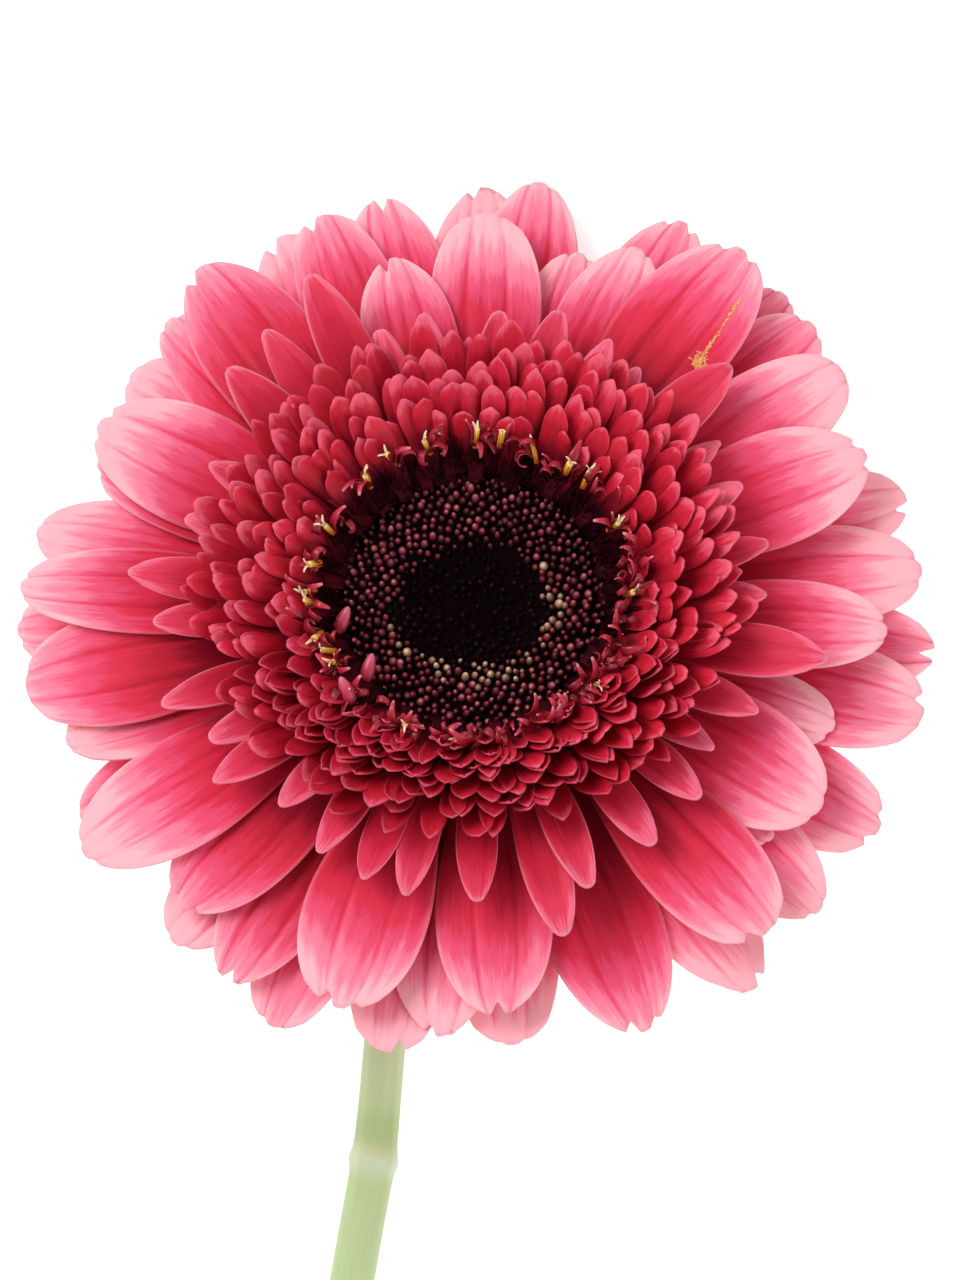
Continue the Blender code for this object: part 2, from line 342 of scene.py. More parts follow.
@dataclass
class Recipe:
    """A new material of moist cells, with short calls for the nodes its colours are made of."""

    name: str
    rough: float
    glow: float
    spread: tuple[float, float, float]  # how far red, green and blue light spread in the tissue
    light_depth: float = 0.8 * MM
    ior: float = 1.42
    made: bpy.types.Material = field(init=False)

    def __post_init__(self) -> None:
        """Makes the material with what every tissue has."""
        self.made = bpy.data.materials.new(self.name)
        self.made.use_nodes = True
        self.shader(
            {
                "Roughness": self.rough,
                "IOR": self.ior,
                "Subsurface Weight": self.glow,
                "Subsurface Radius": self.spread,
                "Subsurface Scale": self.light_depth,
            }
        )

    def shader(self, feeds: dict) -> None:
        """Sets or links inputs of the material's shader."""
        feed(self.made.node_tree.nodes["Principled BSDF"], feeds)

    def uv(self) -> tuple[Socket, Socket, Socket]:
        """The surface's coordinates, then U, which runs across, and V, which runs along."""
        whole = add_node(self.made, "ShaderNodeUVMap", uv_map="UVMap").outputs[0]
        parts = add_node(self.made, "ShaderNodeSeparateXYZ", {0: whole}).outputs
        return whole, parts["X"], parts["Y"]

    def shade(self) -> Socket:
        """The value stored for each floret."""
        return add_node(self.made, "ShaderNodeAttribute", attribute_name="shade").outputs["Fac"]

    def math(self, operation: str, *values: Socket | float) -> Socket:
        """One step of arithmetic."""
        feeds = dict(enumerate(values))
        return add_node(self.made, "ShaderNodeMath", feeds, operation=operation).outputs[0]

    def vector(self, operation: str, *values: Socket | Sequence[float]) -> Socket:
        """One step of arithmetic on coordinates."""
        feeds = dict(enumerate(values))
        return add_node(self.made, "ShaderNodeVectorMath", feeds, operation=operation).outputs[0]

    def noise(self, where: Socket, detail: float, rough: float = 0.5, scale: float = 1.0) -> Socket:
        """Soft noise that swings round 0.5."""
        feeds = {"Vector": where, "Scale": scale, "Detail": detail, "Roughness": rough}
        return add_node(self.made, "ShaderNodeTexNoise", feeds).outputs["Fac"]

    def fit(self, value: Socket, low: float, high: float, start: float = 0.0, end: float = 1.0) -> Socket:
        """Maps a value from the span low to high onto the span start to end."""
        feeds = {0: value, 1: low, 2: high, 3: start, 4: end}
        return add_node(self.made, "ShaderNodeMapRange", feeds).outputs[0]

    def sway(self, total: Socket, value: Socket, amount: float) -> Socket:
        """Adds to a total so much of a value that swings round 0.5."""
        return self.math("MULTIPLY_ADD", self.math("SUBTRACT", value, 0.5), amount, total)

    def ramp(self, along: Socket, stops: Sequence[tuple[float, str]], blend: str = "LINEAR") -> Socket:
        """The colour at a value, from stops of a place and an sRGB colour each."""
        node = add_node(self.made, "ShaderNodeValToRGB", {0: along})
        node.color_ramp.interpolation = blend
        for index, (place, code) in enumerate(stops):
            if index < 2:
                stop = node.color_ramp.elements[index]
                stop.position = place
            else:
                stop = node.color_ramp.elements.new(place)
            stop.color = linear(code)
        return node.outputs["Color"]


@dataclass(frozen=True)
class PetalFinish:
    """Living petal tissue: soft, slightly velvety, veined lengthwise, glowing where light passes.

    The UV's V runs from claw to tip and carries the colour from deep red to pale pink, pigment
    with painted shade towards the claw; U runs across and carries the veins. The shade attribute
    makes each floret a little lighter or darker.
    """

    name: str
    stops: tuple[tuple[float, str], ...]
    pale: str  # colour of the fine margin
    streaks: float = 0.10  # how much the veins sway the pigment
    feather: float = 0.23  # how much the broad clouds do
    mottle: float = 0.15  # how much the short blotches do
    own: float = 0.16  # how much florets differ from one another
    fold_shade: float = 0.07  # how much darker red the two folds are painted, as painted shade in the creases
    margin: float = 0.12  # how much further along, and so paler, the margins are
    vein_count: float = 56.0
    edge: float = 0.4
    rough: float = 0.5
    glow: float = 0.08

    def build(self) -> bpy.types.Material:
        """Makes the material."""
        mix = Recipe(self.name, self.rough, self.glow, (1.0, 0.25, 0.2))
        uv, across, along = mix.uv()
        shade = mix.shade()
        # Each floret gets its own stretch of every pattern.
        near = add_node(mix.made, "ShaderNodeCombineXYZ", {"Z": shade}).outputs[0]
        far = mix.vector("MULTIPLY", near, (37.0, 37.0, 37.0))

        def pattern(lines: float, bands: float, shift: Socket, detail: float, rough: float) -> Socket:
            """Noise with so many lines across a floret and so many bands along it."""
            where = mix.vector("MULTIPLY", uv, (lines, bands, 0.0))
            return mix.noise(mix.vector("ADD", where, shift), detail, rough)

        # Veins run from claw to tip, about a quarter of a millimetre apart on a broad floret.
        veins = pattern(self.vein_count, 5.5, near, 3.0, 0.6)
        # Short blotches where the pigment lies in uneven patches, about half a millimetre across.
        blotches = pattern(self.vein_count / 1.9, 13.0, near, 4.0, 0.7)
        clouds = pattern(self.vein_count / 5.0, 2.4, far, 2.0, 0.5)
        # Pigment thins towards the tip, unevenly from one strip of tissue to the next.
        drift = mix.sway(along, veins, self.streaks)
        drift = mix.sway(drift, blotches, self.mottle)
        drift = mix.sway(drift, clouds, self.feather)
        drift = mix.sway(drift, shade, self.own)
        # It is thinner at the margins, and the two folds carry painted shade: a darker red along each
        # crease.
        middle = mix.math("ABSOLUTE", mix.math("SUBTRACT", across, 0.5))
        square = mix.math("MULTIPLY", middle, middle)
        drift = mix.math("MULTIPLY_ADD", square, 4.0 * self.margin, drift)
        off = mix.math("ABSOLUTE", mix.math("SUBTRACT", middle, FOLD / 2.0))
        drift = mix.math("SUBTRACT", drift, mix.fit(off, 0.003, 0.03, self.fold_shade, 0.0))
        # A fine pale margin along both sides and round the tip.
        side = mix.fit(middle, 0.465, 0.5, 0.0, self.edge)
        side = mix.math("MULTIPLY", side, mix.fit(along, 0.35, 0.8))
        rim = mix.math("MAXIMUM", side, mix.fit(along, 0.975, 1.0, 0.0, self.edge))
        feeds = {0: rim, 6: mix.ramp(drift, self.stops, "EASE"), 7: linear(self.pale)}
        relief = {"Height": veins, "Strength": 0.25, "Distance": 0.2 * MM}
        mix.shader(
            {
                "Base Color": add_node(mix.made, "ShaderNodeMix", feeds, data_type="RGBA").outputs[2],
                "Normal": add_node(mix.made, "ShaderNodeBump", relief).outputs[0],
                # The downy claw is dull, and the waxy tip has a soft sheen.
                "Specular IOR Level": mix.fit(along, 0.25, 0.75, 0.03, 0.18),
            }
        )
        return mix.made


@dataclass(frozen=True)
class PlainFinish:
    """Plant tissue of one kind whose colour runs along V or with the stored shade, softly mottled."""

    name: str
    stops: tuple[tuple[float, str], ...]
    rough: float = 0.6
    mottle: float = 0.0
    mottle_mm: float = 1.0
    glow: float = 0.1
    specular: float = 0.35
    by_length: float = 1.0
    by_shade: float = 0.0
    sheen: float = 0.0
    stretch: tuple[float, float] = (0.0, 0.0)  # spots across and along, instead of their size in mm

    def build(self) -> bpy.types.Material:
        """Makes the material."""
        mix = Recipe(self.name, self.rough, self.glow, (1.0, 0.6, 0.3))
        uv, _, along = mix.uv()
        along = mix.math("MULTIPLY", along, self.by_length)
        if self.by_shade:
            along = mix.math("MULTIPLY_ADD", mix.shade(), self.by_shade, along)
        if self.mottle:
            if any(self.stretch):
                spots = mix.noise(mix.vector("MULTIPLY", uv, (*self.stretch, 0.0)), 3.0)
            else:
                place = add_node(mix.made, "ShaderNodeTexCoord").outputs["Object"]
                spots = mix.noise(place, 3.0, scale=1.0 / (self.mottle_mm * MM))
            along = mix.sway(along, spots, self.mottle)
        mix.shader(
            {
                "Base Color": mix.ramp(along, self.stops),
                "Specular IOR Level": self.specular,
                "Sheen Weight": self.sheen,
                "Sheen Roughness": 0.5,
            }
        )
        return mix.made


@dataclass
class Palette:
    """Every finish of the flower, made once."""

    made: dict[str, bpy.types.Material] = field(default_factory=dict)

    def get(self, *finishes: PetalFinish | PlainFinish) -> list[bpy.types.Material]:
        """Returns the finishes' materials, each made on first use."""
        for finish in finishes:
            if finish.name not in self.made:
                self.made[finish.name] = finish.build()
        return [self.made[finish.name] for finish in finishes]


# From claw to tip deep red fades to pale pink; the near-black red at the claw is partly pigment, partly
# painted shade under the crest.
RAY_TOP = PetalFinish(
    "ray petal upper side",
    (
        (0.0, "#620a16"),
        (0.36, "#8f1226"),
        (0.50, "#b81d35"),
        (0.64, "#d22b48"),
        (0.76, "#e04a6d"),
        (0.87, "#ef7a95"),
        (1.0, "#faadb8"),
    ),
    "#fbc4c6",
    margin=0.07,
    edge=0.28,
)
RAY_UNDER = PetalFinish(
    "ray petal underside",
    ((0.0, "#b8606a"), (0.4, "#dd7c8a"), (0.6, "#ee93a2"), (0.8, "#f5a6b2"), (0.97, "#f9bcc3")),
    "#fdd9d9",
)
RAY_RIM = PlainFinish("ray petal margin", ((0.45, "#b8304a"), (0.8, "#f5a0ac")))
# The near-black red at the claw is partly pigment, partly painted shade under the crest.
SHORT_TOP = PetalFinish(
    "short ray upper side",
    ((0.0, "#620a16"), (0.45, "#9c142a"), (0.68, "#be1e39"), (0.88, "#d43653"), (1.0, "#e66480")),
    "#f8b0ba",
    vein_count=24.0,
)
SHORT_RIM = PlainFinish("short ray margin", ((0.5, "#a02038"), (0.92, "#e0748a")))
# Near black at the claw, then darker red up to about two thirds of the way: painted shade where the next
# whorl lies over the floret; crimson towards the tip.
CREST_TOP = PetalFinish(
    "crest petal upper side",
    (
        (0.0, "#1c050b"), (0.12, "#3c0811"), (0.42, "#760d1d"), (0.66, "#ae162a"), (0.86, "#cc263d"),
        (1.0, "#e65a72"),
    ),
    "#ee8f9e",
    vein_count=14.0,
    feather=0.3,
    margin=0.04,
    fold_shade=0.0,
    edge=0.14,
    rough=0.38,
    glow=0.03,
)
CREST_UNDER = PetalFinish(
    "crest petal underside",
    ((0.0, "#5a0c18"), (0.4, "#98182b"), (0.7, "#b62a40"), (1.0, "#d24c64")),
    "#e08090",
    vein_count=14.0,
    fold_shade=0.0,
    edge=0.25,
    glow=0.03,
)
CREST_RIM = PlainFinish("crest petal margin", ((0.8, "#86132a"), (1.0, "#c2425a")))
# From a bud's foot to its top: near black low on the sides, pinkish brown on top over the maroon; the dark
# sides are painted shade and the pale top a painted highlight.
BUD = PlainFinish(
    "closed disc bud",
    ((0.25, "#0b0307"), (0.5, "#390f17"), (0.72, "#70252f"), (0.86, "#99464f"), (1.0, "#c88672")),
    rough=0.42,
    by_length=0.66,
    by_shade=0.34,
    glow=0.02,
)
# Near black, a little lighter on top like the other buds: painted shade on the sides and a painted highlight
# on top.
SUNKEN_BUD = PlainFinish(
    "dark bud in and round the hollow", ((0.2, "#040102"), (0.7, "#10040a"), (1.0, "#3a121a")), rough=0.8,
    by_length=0.6, by_shade=0.4, glow=0.0, specular=0.1,
)
# Dark low on the sides and pale on top like the dark buds: painted shade and a painted highlight over the
# pale tissue.
PALE_BUD = PlainFinish(
    "young disc bud",
    ((0.25, "#241010"), (0.55, "#6a4038"), (0.8, "#a67e68"), (1.0, "#d2bd94")),
    rough=0.42,
    by_length=0.8,
    by_shade=0.25,
)
HAIR = PlainFinish(
    "pappus hair", ((0.0, "#080204"), (0.5, "#1e060d"), (1.0, "#561322")), rough=0.8, glow=0.0, specular=0.04
)
FUZZ = PlainFinish("eye felt", ((0.0, "#070103"), (1.0, "#12050a")), rough=0.95, glow=0.0, specular=0.05)
CLAWS = PlainFinish(
    "packed petal claws", ((0.0, "#e8a0a8"), (0.5, "#c4485a"), (0.85, "#84202f"), (1.0, "#2c0810")),
    by_length=0.0, by_shade=1.0, mottle=0.9, stretch=(150.0, 0.5),
)
ANTHER = PlainFinish(
    "ripe anther", ((0.0, "#b0481c"), (0.35, "#de8420"), (0.75, "#eeac38"), (1.0, "#f4cf84")), rough=0.6
)
STYLE = PlainFinish("style", ((0.0, "#d8a070"), (0.5, "#ecd2a0"), (1.0, "#f8e6c0")), rough=0.35)
LIP = PlainFinish(
    "floret lip", ((0.0, "#5c0a16"), (0.5, "#9c1a2e"), (0.85, "#bd3148"), (1.0, "#e08a8c")),
    rough=0.28, specular=0.5, glow=0.1,
)
POD = PlainFinish(
    "loose pod", ((0.0, "#8c1c30"), (0.5, "#b83350"), (1.0, "#d97088")), rough=0.3, specular=0.5
)
POLLEN = PlainFinish("pollen", ((0.0, "#e4884a"), (1.0, "#f2bc78")), by_length=0.0, by_shade=1.0, rough=0.9)
BRACT = PlainFinish(
    "green bract",
    ((0.0, "#5d7a33"), (0.55, "#6f8a40"), (0.85, "#6a7038"), (1.0, "#7a4440")),
    mottle=0.15,
    mottle_mm=1.2,
    sheen=0.2,
)
SCAPE = PlainFinish(
    "gerbera scape",
    ((0.0, "#6f914e"), (0.25, "#97b173"), (0.5, "#afc38f"), (0.75, "#bac9a0"), (1.0, "#d0d4bc")),
    by_length=0.0,
    by_shade=1.0,
    mottle=0.22,
    stretch=(24.0, 16.0),
    sheen=0.25,
    rough=0.55,
)
PITH = PlainFinish(
    "cut pith", ((0.0, "#dfe3c0"), (0.6, "#c8d2a0"), (1.0, "#8a9c60")), mottle=0.2, mottle_mm=0.4
)
DOWN = PlainFinish("stem down", ((0.0, "#c4cfa6"), (1.0, "#eef0dc")), rough=0.6)


# ---------------------------------------------------------------- the head's frame


@dataclass(frozen=True)
class HeadFrame:
    """Where the flower head stands: millimetres along its own axes to metres on the table."""

    lean: float = math.radians(24.0)
    lean_side: float = math.radians(5.0)
    fringe_foot: float = 0.4  # height of the fringe's lower edge above the receptacle

    def turn(self) -> Matrix:
        """The head's attitude, without its place."""
        side = Matrix.Rotation(self.lean_side, 4, "Z")
        return side @ Matrix.Rotation(-self.lean, 4, "X") @ side.inverted()

    def axis(self) -> Vector:
        """Unit vector out of the eye."""
        return self.turn().to_3x3() @ Vector((0.0, 0.0, 1.0))

    def middle(self) -> Vector:
        """The receptacle's middle on the table, in metres, read from the fringe's solid."""
        points = read(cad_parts["pappus_fringe"].data.vertices, "co", 3, float)
        axis = np.array(self.axis())
        heights = points @ axis
        at = points.mean(0)
        low = heights.min() - self.fringe_foot * MM
        return Vector(at + axis * (low - at @ axis))

    def matrix(self) -> Matrix:
        """From head millimetres to metres on the table."""
        return Matrix.Translation(self.middle()) @ self.turn() @ Matrix.Scale(MM, 4)


# ---------------------------------------------------------------- florets


@dataclass(frozen=True)
class Strap:
    """A strap of petal tissue, from a narrow claw to a broad, rounded or toothed tip.

    It points to Y. Places are (distance from the axis, height) in mm; the spine bends from the
    root towards the knee and on to the tip. Section and profile terms are heights in mm along the
    strap's own normal.
    """

    root: tuple[float, float]
    tip: tuple[float, float]
    width: float
    knee: tuple[float, float] | None = None
    claw: float = 3.8
    widest: float = 0.66
    blunt: float = 0.5  # width that is left at the end, as a share
    ogive: float = 0.0  # 0 for a round shoulder, 1 for a pointed one
    rounding: float = 0.05  # how far the corners fall back, as a share of the length
    power: float = 2.0
    notches: tuple[tuple[float, float, float], ...] = ()  # place across, depth in mm, half width
    bow: float = 0.0
    curl: float = 0.0
    camber: float = 0.0
    groove: float = 0.0
    twist: float = 0.0
    sway: float = 0.0
    ripple: float = 0.0
    phase: float = 0.0
    thick: float = 0.28

    def spine(self, t: Array) -> tuple[Array, Array]:
        """Points (out, up) of the spine and its unit directions at shares of its length."""
        root, tip = np.array(self.root), np.array(self.tip)
        knee = np.array(self.knee) if self.knee else (root + tip) / 2
        t = t[:, None]
        at = root * (1 - t) ** 2 + knee * 2 * t * (1 - t) + tip * t**2
        way = (knee - root) * (1 - t) + (tip - knee) * t
        return at, way / np.linalg.norm(way, axis=1)[:, None]

    def half_width(self, v: Array) -> Array:
        """Half the width in mm at shares of the length."""
        half = self.claw / 2 + (self.width - self.claw) / 2 * smooth(-0.12, self.widest, v)
        past = np.clip((v - self.widest) / (1.0 - self.widest), 0.0, 1.0)
        round_end = np.sqrt(1.0 - (1.0 - self.blunt**2) * past**2.5)
        pointed = 1.0 - (1.0 - self.blunt) * past**2
        return half * (round_end + (pointed - round_end) * self.ogive)

    def surface(self, u: Array, v: Array) -> Array:
        """Shapes the upper side: its outline, its section, its folds and its ripples.

        Args:
            u: shares across, 0 at the left margin.
            v: shares along, 0 at the claw.

        Returns:
            A point for each, in head millimetres, for a strap that points to Y.
        """
        s = u * 2.0 - 1.0
        length = math.dist(self.root, self.tip)
        back = self.rounding * np.abs(s) ** self.power * smooth(0.45, 1.0, v)
        near = smooth(0.80, 1.0, v)
        for place, depth, wide in self.notches:
            back = back + depth / length * np.clip(1.0 - np.abs(s - place) / wide, 0.0, 1.0) * near
        t = v - back
        body = smooth(0.05, 0.5, v)
        lift = self.bow * 4.0 * t * (1.0 - t) + self.curl * np.clip(t, 0.0, 1.0) ** 3
        lift = lift + self.camber * (s * s - 0.35) * body * (1.0 - 0.65 * smooth(0.76, 1.0, v))
        for place in (-FOLD, FOLD):
            lift = lift - self.groove * np.exp(-(((s - place) / 0.065) ** 2)) * body
        lift = lift - self.groove * 0.4 * np.exp(-((s / 0.06) ** 2)) * body
        lift = lift + np.sin(v * 9.0 + self.phase + s * 1.3) * self.ripple * s * s * body
        side = s * self.half_width(v)
        angle = math.radians(self.twist) * t
        lift = lift + side * np.sin(angle)
        at, way = self.spine(t)
        across = side * np.cos(angle) + self.sway * t * t
        return np.stack((across, at[:, 0] - way[:, 1] * lift, at[:, 1] + way[:, 0] * lift), axis=1)

    def build(self, name: str, across: int, along: int) -> bpy.types.Object:
        """Models the strap in head millimetres, pointing to Y, with its wall below.

        Args:
            name: the new object's name.
            across: faces across the strap.
            along: faces along it.

        Returns:
            The strap, with three empty material slots.
        """
        sheet = shaped_grid(name, across, along, self.surface)
        thicken(sheet, self.thick)
        return sheet


class Tip(Enum):
    """How a ray floret ends: notch places across, depths in mm and half widths."""

    ROUND = ()
    LEFT = ((-0.32, 1.5, 0.22),)
    RIGHT = ((0.32, 1.5, 0.22),)
    TWO = ((-0.40, 1.0, 0.20), (0.34, 1.4, 0.22))
    CLEFT = ((0.04, 1.9, 0.22),)
    TEETH = ((-0.42, 0.7, 0.18), (0.30, 0.8, 0.20))


@dataclass(frozen=True)
class Ray:
    """One ray floret: azimuth in degrees, reach and width in mm, layer from the back, tip."""

    azimuth: float
    reach: float
    width: float
    layer: int
    tip: Tip = Tip.ROUND
    roll: float = 0.0  # how far its margins roll up, in mm
    power: float = 2.0


RAYS = (
    Ray(1.5, 57.9, 12.5, 0, Tip.LEFT), Ray(2.3, 51.6, 13.0, 2), Ray(7.9, 58.5, 12.0, 0),
    Ray(15.2, 49.0, 10.0, 1), Ray(22.3, 51.0, 11.0, 2), Ray(26.5, 58.9, 12.0, 0, Tip.TEETH),
    Ray(34.5, 56.8, 14.5, 2, Tip.TEETH), Ray(41.5, 57.0, 11.5, 0), Ray(47.9, 56.2, 12.0, 1),
    Ray(55.9, 54.4, 13.0, 2), Ray(68.0, 51.5, 14.0, 2, Tip.TEETH), Ray(72.3, 55.0, 12.0, 0, Tip.RIGHT),
    Ray(82.4, 54.8, 13.0, 0), Ray(93.5, 50.3, 11.0, 2), Ray(94.2, 56.1, 11.0, 0, Tip.CLEFT, 0.8),
    Ray(103.7, 56.0, 13.0, 0, Tip.LEFT), Ray(109.3, 46.2, 9.5, 1), Ray(120.0, 56.0, 13.0, 0, Tip.TEETH),
    Ray(121.1, 49.5, 14.5, 2), Ray(128.3, 46.5, 9.0, 1), Ray(131.3, 56.3, 12.0, 0),
    Ray(140.9, 55.3, 13.5, 2, Tip.RIGHT), Ray(144.8, 58.0, 12.0, 0, Tip.LEFT),
    Ray(158.4, 57.0, 14.0, 0, Tip.TWO), Ray(174.8, 54.3, 13.0, 0), Ray(175.6, 52.1, 13.5, 2, Tip.CLEFT),
    Ray(183.3, 54.0, 13.5, 1, Tip.RIGHT), Ray(191.2, 56.4, 12.0, 0, Tip.LEFT),
    Ray(197.7, 53.9, 14.5, 2, Tip.TWO), Ray(206.0, 56.9, 12.0, 0), Ray(212.3, 55.2, 12.0, 1, Tip.CLEFT),
    Ray(220.7, 54.9, 12.0, 0), Ray(222.2, 51.6, 13.0, 2, Tip.TEETH), Ray(235.0, 56.5, 13.5, 2),
    Ray(241.5, 53.7, 11.0, 0), Ray(251.0, 51.8, 10.0, 1, Tip.ROUND, 1.2), Ray(261.0, 55.0, 14.0, 1),
    Ray(269.6, 55.7, 12.0, 0), Ray(273.4, 55.1, 10.5, 2), Ray(282.0, 54.6, 11.5, 1),
    Ray(292.4, 50.0, 9.0, 1, Tip.ROUND, 0.4, 1.3), Ray(298.8, 51.9, 14.5, 2, Tip.TEETH),
    Ray(309.0, 53.8, 12.0, 0), Ray(316.3, 54.9, 11.0, 0), Ray(321.9, 56.2, 14.0, 2, Tip.LEFT),
    Ray(333.7, 56.9, 12.5, 0, Tip.LEFT), Ray(339.5, 56.2, 12.0, 1, Tip.LEFT),
    Ray(347.0, 57.1, 12.5, 0, Tip.CLEFT), Ray(347.8, 46.5, 11.0, 2, Tip.LEFT),
)


@dataclass
class RayFlorets:
    """The broad pink straps, each one its own piece over its own solid."""

    palette: Palette
    head: Matrix
    root: float = 17.05
    rim: float = 57.0
    first: float = 0.60
    pitch_at_root: float = 0.78
    pitch_at_rim: float = 1.35
    arch: float = 1.05  # how far all the florets bulge half way out, so that long ones clear short ones
    seed: int = 7

    def levels(self) -> list[int]:
        """The level each floret lies in: the lowest in which it meets no other in plan."""
        found: dict[int, int] = {}
        for index in sorted(range(len(RAYS)), key=lambda i: (RAYS[i].layer, RAYS[i].azimuth)):
            ray = RAYS[index]
            taken = set()
            for other, level in found.items():
                apart = abs((ray.azimuth - RAYS[other].azimuth + 180.0) % 360.0 - 180.0)
                if apart < math.degrees((ray.width + RAYS[other].width) / 76.0) + 1.2:
                    taken.add(level)
            found[index] = next(n for n in range(2 * ray.layer, len(RAYS)) if n not in taken)
        return [found[i] for i in range(len(RAYS))]

    def height(self, level: int, radius: float) -> float:
        """Height of a level's middle above the receptacle at a distance from the axis, in mm."""
        out = (radius - self.root) / (self.rim - self.root)
        pitch = self.pitch_at_root + (self.pitch_at_rim - self.pitch_at_root) * out
        return self.first + pitch * level - 0.5 * out * out + self.arch * 4.0 * out * (1.0 - out)

    def strap(self, ray: Ray, level: int, chance: random.Random) -> Strap:
        """Shapes one floret, each a little unlike the others.

        Args:
            ray: its measures.
            level: which level it lies in, from the back.
            chance: where its small differences come from.

        Returns:
            The floret's shape.
        """
        notches = tuple(
            (place + chance.uniform(-0.05, 0.05), depth * chance.uniform(0.8, 1.25), wide)
            for place, depth, wide in ray.tip.value
        )
        if not notches:
            notches = tuple((place, chance.uniform(0.0, 0.5), 0.2) for place in (-FOLD, FOLD))
        share = (ray.reach - self.root) / (self.rim - self.root)
        return Strap(
            root=(self.root, self.height(level, self.root)),
            tip=(ray.reach, self.height(level, ray.reach)),
            width=ray.width * 1.05,
            notches=notches,
            widest=chance.uniform(0.60, 0.70),
            blunt=chance.uniform(0.52, 0.66),
            rounding=chance.uniform(0.05, 0.075),
            power=ray.power,
            bow=(self.arch + 0.12) * share**2 + chance.uniform(-0.1, 0.15),
            curl=chance.uniform(-0.6, 0.3),
            camber=chance.uniform(-0.45, 0.25) + ray.roll,
            groove=chance.uniform(0.20, 0.38),
            twist=chance.uniform(-3.5, 3.5),
            sway=chance.uniform(-1.0, 1.0),
            ripple=chance.uniform(0.04, 0.16),
            phase=chance.uniform(0.0, math.tau),
        )

    def build(self) -> None:
        """Models and dresses every ray floret."""
        chance = random.Random(self.seed)
        finishes = self.palette.get(RAY_TOP, RAY_UNDER, RAY_RIM)
        for index, (ray, level) in enumerate(zip(RAYS, self.levels())):
            strap = self.strap(ray, level, chance)
            piece = strap.build(f"ray_petal_{index + 1:02d}", 36, 32)
            piece.data.transform(self.head @ at_azimuth(ray.azimuth))
            rest_on_table(piece.data)
            for slot, finish in enumerate(finishes):
                piece.data.materials[slot] = finish
            mark(piece.data, chance.random())
            hand_over(piece, "petal_pink", f"ray_floret_{index + 1:02d}")
            if index == PollenStreak.ray:
                PollenStreak(self.palette, self.head).build(strap)


@dataclass
class PollenStreak:
    """Spilt pollen in a broken line along one broad ray floret."""

    palette: Palette
    head: Matrix
    ray: int = 6
    start: tuple[float, float] = (0.80, 0.60)  # across and along the floret
    end: tuple[float, float] = (0.76, 0.86)
    crumbs: int = 300
    seed: int = 4

    def build(self, strap: Strap) -> None:
        """Scatters the crumbs over the floret's upper side."""
        chance = random.Random(self.seed)
        deselect_all()
        bpy.ops.mesh.primitive_ico_sphere_add(subdivisions=1, radius=1.0)
        crumb = Master.take(bpy.context.object)
        copies = []
        for index in range(self.crumbs):
            t = chance.random() * (0.16 if index % 2 else 1.0)
            spread = 0.028 if index % 2 else 0.006
            u = self.start[0] + (self.end[0] - self.start[0]) * t + chance.gauss(0.0, spread)
            v = self.start[1] + (self.end[1] - self.start[1]) * t + chance.gauss(0.0, 0.006)
            x, y, z = strap.surface(np.array([u]), np.array([v]))[0]
            size = chance.uniform(0.09, 0.15)
            place = Matrix.Translation((x, y, z + 0.04)) @ Matrix.Diagonal((size, size, size * 0.6, 1.0))
            copies.append((crumb, self.head @ at_azimuth(RAYS[self.ray].azimuth) @ place, chance.random()))
        hand_over(repeat("spilt_pollen", copies, self.palette.get(POLLEN)), "petal_pink")


@dataclass(frozen=True)
class Whorl:
    """A ring of like florets: how many, where they stand and end, and how wide they are, in mm."""

    name: str
    node: str  # its solid; empty for a whorl that stands between two of them
    count: int
    foot: float  # height of the claws
    reach: float
    height: float  # of the tips
    rise: float  # slope of the tips in degrees
    width: float
    scatter: float = 1.2  # how far tips stray, in mm
    claw: float = 1.6
    low_side: bool = False  # only on the side of the stem


